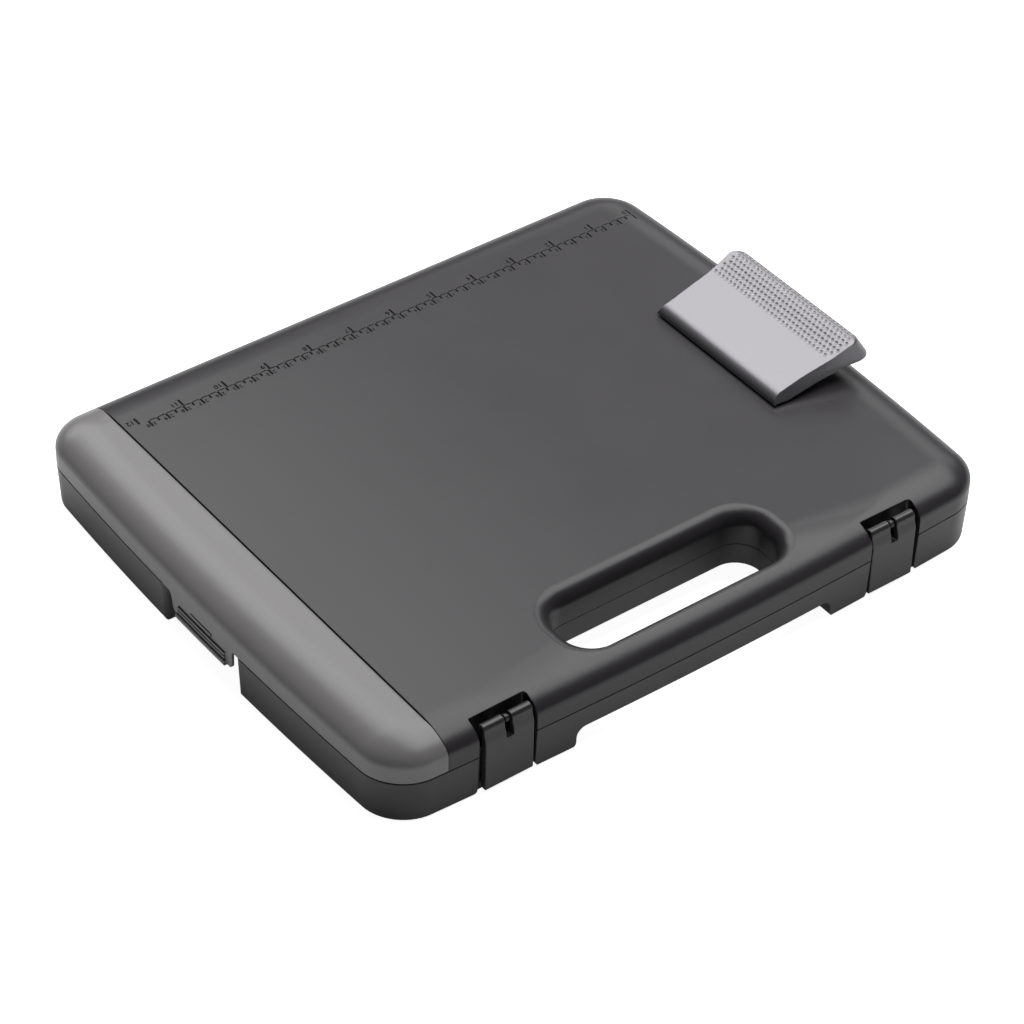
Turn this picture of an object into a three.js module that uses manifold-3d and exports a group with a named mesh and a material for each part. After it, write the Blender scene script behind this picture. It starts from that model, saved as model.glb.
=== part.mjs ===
// Storage clipboard case: a shallow two-shell case whose top is a writing board with a spring clip,
// with a moulded carry handle, two flip latches and a separately hinged lid over a pen compartment.
//
// Millimetres. The origin is the centre of the underside. +X points to the handle and latches,
// +Y to the clip end, +Z up. The cover hinges along the -X side, the pen compartment is at the -Y end.

import * as THREE from 'three';
import * as BufferGeometryUtils from 'three/addons/utils/BufferGeometryUtils.js';
import Module from 'manifold-3d';

const wasm = await Module();
wasm.setup();

// ---------------------------------------------------------------- driving dimensions

const CASE = {
  height: 42.5,
  hingeSideX: -151.5,      // straight side
  handleCornerX: 146.4,    // handle side, measured beside the corners
  halfLength: 177.4,       // both ends, measured beside the corners
  sideBow: 5.1,            // how far the handle side bulges at its middle
  endBow: 5.2,             // how far each end bulges at its middle
  cornerRadius: 22,
  partingZ: 23.7,          // where base and cover meet
  rollWidth: 21.8,         // the rounded shoulder round the top
  rollHeight: 10.3,
  wall: 2.2,
  skin: 2.4,
  draft: 0.9,
  bottomEdge: 1.5,
};
const COVER_GAP = 0.3;
const LID_GAP = 0.5;
const RUN = 0.12;          // radial clearance of a pin in its bore
const BIG = 400;           // reaches past the case in any direction

const SLOT = {             // the hole that makes the carry handle
  centreX: 117.5, halfWidth: 17.5, halfLength: 61.5, cornerRadius: 14, mouth: 8.5, collar: 2.4,
};
const RAISED = {           // the underside is raised round the handle, leaving a foot each side
  fromX: 86, bottomZ: 11.8, halfLengthTop: 73, halfLengthBottom: 78, fillet: 4, floor: 2.2,
};
const LATCH = {
  centreY: 114.3, width: 27, pocket: 30.4, pocketBackX: 141, recessX: 145.2, wall: 2.2,
  pivotX: 145.6, pivotZ: 36.9, hubRadius: 3.2, pinRadius: 1.2, pinLength: 26.2,
  plateInnerX: 146.2, plateOuterX: 149.8, bottomZ: 2, slotWidth: 4.4, slotBottomZ: 28.6,
  lugWidth: 3.6, lugRadius: 2.4, taperZ: 30.5, taperTopZ: 33.5, taper: 0.3, footChamfer: 0.8,
  hookWidth: 16, hookTipX: 144.2, hookBottomZ: 5, hookTopZ: 8.8, hookSlope: 2.2,
};
const CATCH = { width: 18, bottomZ: 4.6, topZ: 9.6, depthX: 142.6 };
const HINGE = {
  x: -152.6, z: 23.85, knuckleRadius: 3.4, clearRadius: 3.8, pinRadius: 1.25,
  stationY: 112, knuckle: 14, gap: 0.4,
};
const LID = {
  axisY: -148.7, edgeRadius: 1.5, beadRadius: 1.9, beadHalf: 127, wireRadius: 0.5, wireHalf: 126,
  lugRadius: 1, lugWidth: 8, lugSpacing: 84, lugNeckFront: -0.6, lugNeckBack: 0.3,
  lugRoomRadius: 3.2, lugRoomRise: 0.8, lugRoomSide: 0.5,
};
LID.axisZ = CASE.height - LID.edgeRadius;
const SEAM_Y = LID.axisY + LID.edgeRadius + 0.3;
const PARTITION = { frontY: -149.6, backY: -147.6, topZ: 38.5 };
const TAB = {              // the lid's pull tab
  halfWidth: 26, bottomZ: 12.4, thickness: 1.4,
  lipHalf: 21, lipBottomZ: 10, lipTopZ: 13.4, lipOut: 1.6,
  ridgeHalf: 20, ridgeZ: [14.6, 16.6, 18.7], ridgeHeight: 0.9, ridgeOut: 0.8,
  bumpHalf: 9, bumpBottomZ: 19.8, bumpTopZ: 23.2, bumpOut: 0.6,
  snapHalf: 10, snapFrontY: -181.8, snapBackY: -178.9, snapBottomZ: 17.6, snapTopZ: 19.6,
};
// The finger notch under the tab; its back slopes from backY at the table up to the parting line.
const NOTCH = { halfWidth: 30.5, backY: -165, topY: -180, wall: 2.2, slopeWall: 3 };
const KEEPER = { half: 12, frontY: -179.7, rootY: -177, bottomZ: 20.6, topZ: 22.4 };   // what the lid's snap holds on to
const CLIP = {
  centreX: 4, frontY: 121.6, rearY: 180.4, frontHalf: 45.8, rearHalf: 49.8, wall: 2.2, skin: 2.4,
  frontZ: 43.6, hollowFrontY: 130, hollowRearY: 177.2, hollowMouthZ: 39,
  axleY: 150, axleZ: 48.6, axleRadius: 1.6, axleHalf: 40,
  ribAt: 37.5, ribWidth: 3, ribHalf: 5.5, ribBottomZ: 45.2, ribRootZ: 51,
};
const BRACKET = { half: 32, frontY: 143, rearY: 157, sheet: 1.2, earRadius: 3.5, earFoot: 6 };
const SPRING = { at: 21, coils: 4, endTurn: 0.506, pitch: 1.7, coilRadius: 3.2, wireRadius: 0.55, leg: 9 };
const RIVET = {
  at: 8.5, shank: 1.6, head: 3.2, headHeight: 1.3, tail: 2.6, tailHeight: 1, washer: 4.6, washerHeight: 0.8,
};
const PAD = { half: 38, frontY: 122.6, rearY: 128.6, bottomZ: 42.8, topZ: 44 };

// ---------------------------------------------------------------- materials

const plastic = (color, roughness) => new THREE.MeshStandardMaterial({ color, roughness, metalness: 0 });
const metal = (color, roughness) => new THREE.MeshStandardMaterial({ color, roughness, metalness: 1 });
const charcoal = plastic(0x4a494b, 0.62);
const darkCharcoal = plastic(0x353536, 0.5);
const midGrey = plastic(0x8f8e8f, 0.45);
const lightGrey = plastic(0xb4b2b8, 0.4);
const rubber = plastic(0x1b1b1c, 0.85);
const steel = metal(0xb8bcc2, 0.35);

// ---------------------------------------------------------------- solids

function solid(geometry) {
  const bare = geometry.clone();
  bare.deleteAttribute('normal');
  bare.deleteAttribute('uv');
  const merged = BufferGeometryUtils.mergeVertices(bare, 1e-4);
  const triangles = merged.index.array;
  const kept = [];
  for (let i = 0; i < triangles.length; i += 3) {
    const [a, b, c] = triangles.slice(i, i + 3);
    if (a !== b && b !== c && c !== a) kept.push(a, b, c);
  }
  return new wasm.Manifold(new wasm.Mesh({
    numProp: 3,
    vertProperties: new Float32Array(merged.attributes.position.array),
    triVerts: new Uint32Array(kept),
  }));
}

function toGeometry(body) {
  const mesh = body.getMesh();
  const geometry = new THREE.BufferGeometry();
  geometry.setAttribute('position', new THREE.BufferAttribute(new Float32Array(mesh.vertProperties), 3));
  geometry.setIndex(new THREE.BufferAttribute(new Uint32Array(mesh.triVerts), 1));
  geometry.computeVertexNormals();
  return geometry;
}

function box(x0, x1, y0, y1, z0, z1) {
  const geometry = new THREE.BoxGeometry(x1 - x0, y1 - y0, z1 - z0);
  geometry.translate((x0 + x1) / 2, (y0 + y1) / 2, (z0 + z1) / 2);
  return solid(geometry);
}

function rodAlongY(radius, x, z, y0, y1, segments = 24) {
  const geometry = new THREE.CylinderGeometry(radius, radius, y1 - y0, segments);
  geometry.translate(x, (y0 + y1) / 2, z);
  return solid(geometry);
}

function rodAlongX(radius, y, z, x0, x1, segments = 24) {
  const geometry = new THREE.CylinderGeometry(radius, radius, x1 - x0, segments);
  geometry.rotateZ(Math.PI / 2);
  geometry.translate((x0 + x1) / 2, y, z);
  return solid(geometry);
}

// An outline in the XZ plane, swept along Y.
function plateAlongY(points, y0, y1) {
  const geometry = new THREE.ExtrudeGeometry(new THREE.Shape(points), { depth: y1 - y0, bevelEnabled: false });
  geometry.rotateX(Math.PI / 2);
  geometry.translate(0, y1, 0);
  return solid(geometry);
}

// An outline in the YZ plane, swept along X.
function plateAlongX(shape, x0, x1, curveSegments = 6) {
  const geometry = new THREE.ExtrudeGeometry(shape, { depth: x1 - x0, bevelEnabled: false, curveSegments });
  geometry.applyMatrix4(new THREE.Matrix4().set(0, 0, 1, x0, 1, 0, 0, 0, 0, 1, 0, 0, 0, 0, 0, 1));
  return solid(geometry);
}

// A closed solid through stacked rings, each an array of points with the same count, and a height.
function loft(rings) {
  const count = rings[0].points.length;
  const positions = [];
  for (const { points, z } of rings) {
    for (const point of points) positions.push(point.x, point.y, z);
  }
  const index = [];
  for (let level = 0; level < rings.length - 1; level++) {
    for (let i = 0; i < count; i++) {
      const a = level * count + i;
      const b = level * count + (i + 1) % count;
      index.push(a, b, b + count, a, b + count, a + count);
    }
  }
  for (const [level, flip] of [[0, true], [rings.length - 1, false]]) {
    const centre = positions.length / 3;
    const { points, z } = rings[level];
    const middle = points.reduce((sum, point) => sum.add(point), new THREE.Vector2()).divideScalar(count);
    positions.push(middle.x, middle.y, z);
    for (let i = 0; i < count; i++) {
      const a = level * count + i;
      const b = level * count + (i + 1) % count;
      index.push(centre, flip ? b : a, flip ? a : b);
    }
  }
  const geometry = new THREE.BufferGeometry();
  geometry.setAttribute('position', new THREE.Float32BufferAttribute(positions, 3));
  geometry.setIndex(index);
  return solid(geometry);
}

// ---------------------------------------------------------------- outlines

// A rounded rectangle, anticlockwise from the corner at +X -Y. sideSteps says how finely each of the
// four sides is divided, in the order +X, +Y, -X, -Y.
function roundedRectangle(halfX, halfY, radius, cornerSteps, sideSteps) {
  const points = [];
  const corners = [[1, -1], [1, 1], [-1, 1], [-1, -1]];
  corners.forEach(([signX, signY], corner) => {
    const start = (corner - 1) * Math.PI / 2;
    for (let i = 0; i <= cornerSteps; i++) {
      const angle = start + (i / cornerSteps) * Math.PI / 2;
      points.push(new THREE.Vector2(
        signX * (halfX - radius) + radius * Math.cos(angle),
        signY * (halfY - radius) + radius * Math.sin(angle),
      ));
    }
    const from = points[points.length - 1].clone();
    const [nextX, nextY] = corners[(corner + 1) % 4];
    const to = new THREE.Vector2(
      corner % 2 ? nextX * (halfX - radius) : from.x,
      corner % 2 ? from.y : nextY * (halfY - radius),
    );
    for (let i = 1; i < sideSteps[corner]; i++) points.push(from.clone().lerp(to, i / sideSteps[corner]));
  });
  return points;
}

// The plan of the case, moved inward by inset: three sides bulge, the hinge side is straight.
function caseOutline(inset) {
  const centreX = (CASE.hingeSideX + CASE.handleCornerX) / 2;
  const halfX = (CASE.handleCornerX - CASE.hingeSideX) / 2 - inset;
  const halfY = CASE.halfLength - inset;
  const radius = Math.max(CASE.cornerRadius - inset, 0.3);
  return roundedRectangle(halfX, halfY, radius, 6, [14, 12, 1, 12]).map((point) => {
    const u = point.x / halfX;
    const v = point.y / halfY;
    return new THREE.Vector2(
      centreX + point.x + CASE.sideBow * Math.max(u, 0) * (1 - v * v),
      point.y + CASE.endBow * v * (1 - u * u),
    );
  });
}

function slotOutline(outset) {
  const outline = roundedRectangle(
    SLOT.halfWidth + outset, SLOT.halfLength + outset, SLOT.cornerRadius + outset, 8, [1, 1, 1, 1]);
  return outline.map((point) => new THREE.Vector2(point.x + SLOT.centreX, point.y));
}

// The upper case form from bottomZ up, with its rounded shoulder; inset and drop make the inner form.
function upperForm(bottomZ, inset = 0, drop = 0) {
  const steps = 7;
  const shoulderZ = CASE.height - drop - CASE.rollHeight;
  const rings = [{ points: caseOutline(inset), z: bottomZ }];
  for (let i = 0; i <= steps; i++) {
    const angle = (i / steps) * Math.PI / 2;
    const rollInset = CASE.rollWidth * (1 - Math.cos(angle));
    rings.push({ points: caseOutline(inset + rollInset), z: shoulderZ + CASE.rollHeight * Math.sin(angle) });
  }
  return loft(rings);
}

// The handle hole with its flared mouth, grown sideways by grow and lowered by drop.
function slotForm(bottomZ, grow, drop) {
  const steps = 6;
  const rings = [{ points: slotOutline(grow), z: bottomZ }];
  for (let i = 0; i <= steps; i++) {
    const angle = (i / steps) * Math.PI / 2;
    rings.push({
      points: slotOutline(grow + SLOT.mouth * (1 - Math.cos(angle))),
      z: CASE.height - drop - SLOT.mouth * (1 - Math.sin(angle)),
    });
  }
  rings.push({ points: slotOutline(grow + SLOT.mouth), z: CASE.height + 3 });
  return loft(rings);
}

function subtractAll(body, cutters) {
  return cutters.reduce((left, cutter) => left.subtract(cutter), body);
}

function addAll(body, pieces) {
  return pieces.reduce((sum, piece) => sum.add(piece), body);
}

const bothLatches = (make) => [-LATCH.centreY, LATCH.centreY].map(make);
const bothHinges = (make) => [-HINGE.stationY, HINGE.stationY].map(make);

// ---------------------------------------------------------------- main hinge

function coverKnuckle(centreY, radius, extra = 0) {
  const half = HINGE.knuckle / 2 + extra;
  return rodAlongY(radius, HINGE.x, HINGE.z, centreY - half, centreY + half);
}

function baseKnuckles(centreY, radius, extra = 0) {
  const offset = HINGE.knuckle + HINGE.gap;
  return coverKnuckle(centreY - offset, radius, extra).add(coverKnuckle(centreY + offset, radius, extra));
}

function hingeBore(centreY) {
  const half = 2 * HINGE.knuckle;
  return rodAlongY(HINGE.pinRadius + RUN, HINGE.x, HINGE.z, centreY - half, centreY + half);
}

function hingePin(centreY) {
  const half = 1.5 * HINGE.knuckle + HINGE.gap + 1;
  return rodAlongY(HINGE.pinRadius, HINGE.x, HINGE.z, centreY - half, centreY + half, 20);
}

// ---------------------------------------------------------------- cover

function latchPocketBlock(centreY, backX, extra, bottomZ) {
  const half = LATCH.pocket / 2 + extra;
  return box(backX, BIG, centreY - half, centreY + half, bottomZ, BIG);
}

function latchLug(centreY) {
  const half = LATCH.lugWidth / 2;
  const arm = box(LATCH.pocketBackX - 1, LATCH.pivotX, centreY - half, centreY + half,
    LATCH.pivotZ - LATCH.lugRadius, LATCH.pivotZ + LATCH.lugRadius);
  return arm.add(rodAlongY(LATCH.lugRadius, LATCH.pivotX, LATCH.pivotZ, centreY - half, centreY + half));
}

function latchPin(centreY, radius, length) {
  return rodAlongY(radius, LATCH.pivotX, LATCH.pivotZ, centreY - length / 2, centreY + length / 2, 20);
}

function coverShell() {
  const bottomZ = CASE.partingZ + COVER_GAP;
  const outer = upperForm(bottomZ);
  const shell = outer.subtract(upperForm(bottomZ - 1, CASE.wall, CASE.skin));
  const collar = slotForm(bottomZ, SLOT.collar, SLOT.collar);
  const pockets = bothLatches((y) => latchPocketBlock(y, LATCH.pocketBackX - LATCH.wall, LATCH.wall, bottomZ));
  const seamLip = box(-BIG, BIG, SEAM_Y, SEAM_Y + 2, PARTITION.topZ - 1, BIG);
  const inside = addAll(collar, [...pockets, seamLip]).intersect(outer);
  const cutters = [
    slotForm(-1, 0, 0),
    box(-BIG, BIG, -BIG, SEAM_Y, -BIG, BIG),
    ...bothLatches((y) => latchPocketBlock(y, LATCH.pocketBackX, 0, -1)),
    ...bothHinges((y) => baseKnuckles(y, HINGE.clearRadius, HINGE.gap)),
    ...[-RIVET.at, RIVET.at].map((x) => rivetRod(x, RIVET.shank + RUN)),
  ];
  const carved = subtractAll(shell.add(inside), cutters);
  const added = addAll(carved, [
    ...bothLatches(latchLug),
    ...bothHinges((y) => coverKnuckle(y, HINGE.knuckleRadius)),
  ]);
  return subtractAll(added, [
    ...bothLatches((y) => latchPin(y, LATCH.pinRadius + RUN, LATCH.pinLength + 0.2)),
    ...bothHinges(hingeBore),
  ]);
}

// ---------------------------------------------------------------- base

// The lower case form, with draft and a softened bottom edge; inset makes the inner form.
function lowerForm(bottomZ, topZ, inset = 0) {
  const steps = 3;
  const rings = [];
  for (let i = 0; i <= steps; i++) {
    const angle = (i / steps) * Math.PI / 2;
    const edge = CASE.bottomEdge * (1 - Math.sin(angle));
    rings.push({
      points: caseOutline(inset + CASE.draft + edge),
      z: bottomZ + CASE.bottomEdge * (1 - Math.cos(angle)),
    });
  }
  rings.push({ points: caseOutline(inset), z: topZ });
  return loft(rings);
}

// The raised part of the underside, as a profile along the handle side, grown by grow.
function raisedForm(grow, fromX, bottomZ) {
  const top = RAISED.bottomZ + grow;
  const shape = new THREE.Shape();
  const foot = RAISED.halfLengthBottom + grow;
  const roof = RAISED.halfLengthTop + grow;
  shape.moveTo(-foot, bottomZ);
  shape.lineTo(foot, bottomZ);
  shape.lineTo(foot, 0);
  shape.bezierCurveTo(foot - RAISED.fillet, 1, roof + 1.5, top, roof - RAISED.fillet, top);
  shape.lineTo(-roof + RAISED.fillet, top);
  shape.bezierCurveTo(-roof - 1.5, top, -foot + RAISED.fillet, 1, -foot, 0);
  return plateAlongX(shape, fromX, BIG);
}

function lidLug(centreX) {
  const half = LID.lugWidth / 2;
  const neck = box(centreX - half, centreX + half, LID.axisY + LID.lugNeckFront, LID.axisY + LID.lugNeckBack,
    PARTITION.topZ - 1, LID.axisZ);
  return neck.add(rodAlongX(LID.lugRadius, LID.axisY, LID.axisZ, centreX - half, centreX + half));
}

const lidLugs = (make) => [-LID.lugSpacing, 0, LID.lugSpacing].map(make);

// The space of the finger notch, grown by grow, with its back moved in by back.
function notchForm(grow, back, top) {
  const slope = (NOTCH.topY - NOTCH.backY) / CASE.partingZ;
  const backAt = (z) => NOTCH.backY + back + slope * z;
  const shape = new THREE.Shape([
    new THREE.Vector2(-BIG, -1),
    new THREE.Vector2(backAt(-1), -1),
    new THREE.Vector2(backAt(top), top),
    new THREE.Vector2(-BIG, top),
  ]);
  return plateAlongX(shape, -NOTCH.halfWidth - grow, NOTCH.halfWidth + grow);
}

function baseTray() {
  const outer = lowerForm(0, CASE.partingZ);
  const cavity = subtractAll(lowerForm(CASE.wall, CASE.partingZ + 5, CASE.wall), [
    raisedForm(RAISED.floor, RAISED.fromX - CASE.wall, -1),
    notchForm(NOTCH.wall, NOTCH.slopeWall, CASE.partingZ + 6),
    ...bothLatches((y) => latchPocketBlock(y, LATCH.recessX - LATCH.wall, LATCH.wall, -1)),
    loft([{ points: slotOutline(SLOT.collar), z: -1 }, { points: slotOutline(SLOT.collar), z: BIG }]),
  ]);
  const partition = upperForm(CASE.wall, CASE.wall + 0.4, CASE.skin + 0.4)
    .intersect(box(-BIG, BIG, PARTITION.frontY, PARTITION.backY, CASE.wall / 2, PARTITION.topZ));
  const keeper = box(-KEEPER.half, KEEPER.half, KEEPER.frontY, KEEPER.rootY, KEEPER.bottomZ, KEEPER.topZ);
  const shell = outer.subtract(cavity).add(partition);
  const carved = subtractAll(shell, [
    raisedForm(0, RAISED.fromX, -1),
    slotForm(-1, 0, 0),
    notchForm(0, 0, CASE.partingZ + 1),
    ...bothLatches((y) => latchPocketBlock(y, LATCH.recessX, 0, -1)),
    ...bothLatches((y) => box(CATCH.depthX, LATCH.recessX + 1, y - CATCH.width / 2, y + CATCH.width / 2,
      CATCH.bottomZ, CATCH.topZ)),
    ...bothHinges((y) => coverKnuckle(y, HINGE.clearRadius, HINGE.gap)),
  ]);
  const added = addAll(carved, [
    keeper,
    ...lidLugs(lidLug),
    ...bothHinges((y) => baseKnuckles(y, HINGE.knuckleRadius)),
  ]);
  return subtractAll(added, [
    ...bothHinges(hingeBore),
    rodAlongX(LID.wireRadius + RUN, LID.axisY, LID.axisZ, -LID.beadHalf, LID.beadHalf),
  ]);
}

// ---------------------------------------------------------------- pen compartment lid

function lidTab() {
  const beyondY = -(CASE.halfLength + CASE.endBow) - 4;
  const wallOf = (inset) => loft([
    { points: caseOutline(inset), z: TAB.lipBottomZ },
    { points: caseOutline(inset), z: CASE.partingZ + 4 },
  ]);
  const band = (outset, half, bottomZ, topZ) => wallOf(-outset).subtract(wallOf(TAB.thickness))
    .intersect(box(-half, half, beyondY, -CASE.halfLength + 5, bottomZ, topZ));
  const parts = [
    band(TAB.lipOut, TAB.lipHalf, TAB.lipBottomZ, TAB.lipTopZ),
    band(TAB.bumpOut, TAB.bumpHalf, TAB.bumpBottomZ, TAB.bumpTopZ),
    ...TAB.ridgeZ.map((z) => band(TAB.ridgeOut, TAB.ridgeHalf, z, z + TAB.ridgeHeight)),
    box(-TAB.snapHalf, TAB.snapHalf, TAB.snapFrontY, TAB.snapBackY, TAB.snapBottomZ, TAB.snapTopZ),
  ];
  return addAll(band(0, TAB.halfWidth, TAB.bottomZ, CASE.partingZ + 2), parts);
}

function compartmentLid() {
  const bottomZ = CASE.partingZ + LID_GAP;
  const shell = upperForm(bottomZ).subtract(upperForm(bottomZ - 1, CASE.wall, CASE.skin));
  const half = LID.beadHalf;
  const bead = rodAlongX(LID.beadRadius, LID.axisY, LID.axisZ, -half, half)
    .intersect(box(-BIG, BIG, -BIG, BIG, 0, CASE.height));
  const edgeY = LID.axisY + LID.edgeRadius;
  const kept = addAll(rodAlongX(LID.edgeRadius, LID.axisY, LID.axisZ, -BIG, BIG, 32), [
    box(-BIG, BIG, -BIG, LID.axisY, -1, BIG),
    box(-BIG, BIG, -BIG, edgeY, -1, LID.axisZ),
  ]);
  const lugRoom = (x) => {
    const reach = LID.lugWidth / 2 + LID.lugRoomSide;
    const round = rodAlongX(LID.lugRadius + RUN, LID.axisY, LID.axisZ, x - reach, x + reach);
    const under = rodAlongX(LID.lugRoomRadius, LID.axisY, LID.axisZ, x - reach, x + reach)
      .intersect(box(-BIG, BIG, -BIG, BIG, -1, LID.axisZ + LID.lugRoomRise));
    return round.add(under);
  };
  const bore = rodAlongX(LID.wireRadius + RUN, LID.axisY, LID.axisZ, -half - 1, half + 1);
  const top = subtractAll(shell.add(bead).intersect(kept), [bore, ...lidLugs(lugRoom)]);
  return top.add(lidTab());
}

function hingeWire() {
  return rodAlongX(LID.wireRadius, LID.axisY, LID.axisZ, -LID.wireHalf, LID.wireHalf, 12);
}

// ---------------------------------------------------------------- latches

function latch(centreY) {
  const half = LATCH.width / 2;
  const plate = plateAlongY([
    new THREE.Vector2(LATCH.plateInnerX, LATCH.bottomZ),
    new THREE.Vector2(LATCH.plateOuterX - LATCH.footChamfer, LATCH.bottomZ),
    new THREE.Vector2(LATCH.plateOuterX, LATCH.bottomZ + LATCH.footChamfer),
    new THREE.Vector2(LATCH.plateOuterX, LATCH.taperZ),
    new THREE.Vector2(LATCH.plateOuterX - LATCH.taper, LATCH.taperTopZ),
    new THREE.Vector2(LATCH.pivotX + LATCH.hubRadius, LATCH.pivotZ),
    new THREE.Vector2(LATCH.pivotX, LATCH.pivotZ),
    new THREE.Vector2(LATCH.plateInnerX, LATCH.pivotZ - LATCH.hubRadius),
  ], centreY - half, centreY + half);
  const hub = rodAlongY(LATCH.hubRadius, LATCH.pivotX, LATCH.pivotZ, centreY - half, centreY + half, 32);
  const hook = plateAlongY([
    new THREE.Vector2(LATCH.plateInnerX + 0.5, LATCH.hookBottomZ),
    new THREE.Vector2(LATCH.plateInnerX + 0.5, LATCH.hookTopZ),
    new THREE.Vector2(LATCH.hookTipX, LATCH.hookTopZ),
    new THREE.Vector2(LATCH.hookTipX, LATCH.hookBottomZ + LATCH.hookSlope),
    new THREE.Vector2(LATCH.plateInnerX, LATCH.hookBottomZ),
  ], centreY - LATCH.hookWidth / 2, centreY + LATCH.hookWidth / 2);
  const slotHalf = LATCH.slotWidth / 2;
  return subtractAll(addAll(plate, [hub, hook]), [
    box(-BIG, BIG, centreY - slotHalf, centreY + slotHalf, LATCH.slotBottomZ, BIG),
    latchPin(centreY, LATCH.pinRadius + RUN, BIG),
  ]);
}

// ---------------------------------------------------------------- clip

// The top of the lever in the YZ plane, rising to the thumb rest at the rear, lowered by drop.
function traceLeverBack(shape, drop) {
  shape.lineTo(156, 56.55 - drop);
  shape.bezierCurveTo(161.5, 57.9 - drop, 165, 59.7 - drop, 169, 60.9 - drop);
}

// The side profile of the lever. Its front edge has a rebate that holds the jaw pad.
function leverProfile() {
  const rebateFrontY = PAD.frontY - 0.2;
  const rebateRearY = PAD.rearY + 0.6;
  const shape = new THREE.Shape();
  shape.moveTo(CLIP.frontY, CLIP.frontZ);
  shape.lineTo(CLIP.frontY + 0.2, CLIP.frontZ + 1.2);
  shape.bezierCurveTo(CLIP.frontY + 0.7, 47.4, 124.6, 48.6, 128.2, 49.5);
  traceLeverBack(shape, 0);
  shape.bezierCurveTo(172.2, 61.9, 174.4, 62.3, 176, 60.4);
  shape.lineTo(180.2, 53.0);
  shape.bezierCurveTo(180.9, 51.6, 180.3, 51.2, 178.8, 51.2);
  shape.lineTo(165, 50.8);
  shape.lineTo(146, 47.4);
  shape.lineTo(rebateRearY, 43.9);
  shape.lineTo(rebateRearY, PAD.topZ);
  shape.lineTo(rebateFrontY, PAD.topZ);
  shape.lineTo(rebateFrontY, CLIP.frontZ);
  return shape;
}

// The hollow inside the lever, open underneath.
function leverHollow() {
  const shape = new THREE.Shape();
  const front = CLIP.hollowFrontY;
  shape.moveTo(front, CLIP.hollowMouthZ);
  shape.lineTo(front, 46.4);
  shape.bezierCurveTo(front + 0.4, 47.4, front + 1.4, 47.9, front + 3, 48.3);
  traceLeverBack(shape, CLIP.skin);
  shape.lineTo(172.8, 58.4);
  shape.lineTo(CLIP.hollowRearY, 52.2);
  shape.lineTo(CLIP.hollowRearY, CLIP.hollowMouthZ);
  return shape;
}

function leverPlan(inset) {
  const front = CLIP.frontHalf - inset;
  const rear = CLIP.rearHalf - inset;
  const x = CLIP.centreX;
  const outline = new THREE.Shape([
    new THREE.Vector2(x - front, CLIP.frontY - 1),
    new THREE.Vector2(x + front, CLIP.frontY - 1),
    new THREE.Vector2(x + rear, CLIP.rearY - 7),
    new THREE.Vector2(x + rear - 2, CLIP.rearY - 2.5),
    new THREE.Vector2(x + rear - 6, CLIP.rearY + 2),
    new THREE.Vector2(x - rear + 6, CLIP.rearY + 2),
    new THREE.Vector2(x - rear + 2, CLIP.rearY - 2.5),
    new THREE.Vector2(x - rear, CLIP.rearY - 7),
  ]);
  return solid(new THREE.ExtrudeGeometry(outline, { depth: 80, bevelEnabled: false }));
}

function clipLever() {
  const left = CLIP.centreX - 60;
  const right = CLIP.centreX + 60;
  const hollow = plateAlongX(leverHollow(), left, right).intersect(leverPlan(CLIP.wall));
  const form = plateAlongX(leverProfile(), left, right, 8).intersect(leverPlan(0));
  const ribs = [-CLIP.ribAt, CLIP.ribAt].map((at) => {
    const x = CLIP.centreX + at;
    const rib = (bottomZ, topZ) => box(x - CLIP.ribWidth / 2, x + CLIP.ribWidth / 2,
      CLIP.axleY - CLIP.ribHalf, CLIP.axleY + CLIP.ribHalf, bottomZ, topZ);
    return rib(CLIP.ribBottomZ, CLIP.ribRootZ).add(rib(CLIP.ribRootZ - 0.5, BIG).intersect(form));
  });
  const body = form.subtract(hollow);
  const axleRoom = rodAlongX(CLIP.axleRadius + RUN, CLIP.axleY, CLIP.axleZ,
    CLIP.centreX - CLIP.axleHalf - 0.3, CLIP.centreX + CLIP.axleHalf + 0.3);
  return addAll(body, ribs).subtract(axleRoom);
}

function clipBracket() {
  const floorZ = CASE.height;
  const x0 = CLIP.centreX - BRACKET.half;
  const x1 = CLIP.centreX + BRACKET.half;
  const ear = (x) => {
    const foot = box(x, x + BRACKET.sheet, CLIP.axleY - BRACKET.earFoot, CLIP.axleY + BRACKET.earFoot,
      floorZ, floorZ + 3);
    const shape = new THREE.Shape();
    shape.moveTo(CLIP.axleY - BRACKET.earFoot, floorZ);
    shape.lineTo(CLIP.axleY + BRACKET.earFoot, floorZ);
    shape.lineTo(CLIP.axleY + BRACKET.earRadius, CLIP.axleZ);
    shape.absarc(CLIP.axleY, CLIP.axleZ, BRACKET.earRadius, 0, Math.PI, false);
    return foot.add(plateAlongX(shape, x, x + BRACKET.sheet, 8));
  };
  const base = box(x0, x1, BRACKET.frontY, BRACKET.rearY, floorZ, floorZ + BRACKET.sheet);
  return subtractAll(addAll(base, [ear(x0), ear(x1 - BRACKET.sheet)]), [
    rodAlongX(CLIP.axleRadius + RUN, CLIP.axleY, CLIP.axleZ, x0 - 1, x1 + 1),
    ...[-RIVET.at, RIVET.at].map((at) => rivetRod(at, RIVET.shank + RUN)),
  ]);
}

function clipAxle() {
  return rodAlongX(CLIP.axleRadius, CLIP.axleY, CLIP.axleZ,
    CLIP.centreX - CLIP.axleHalf, CLIP.centreX + CLIP.axleHalf, 20);
}

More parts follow.
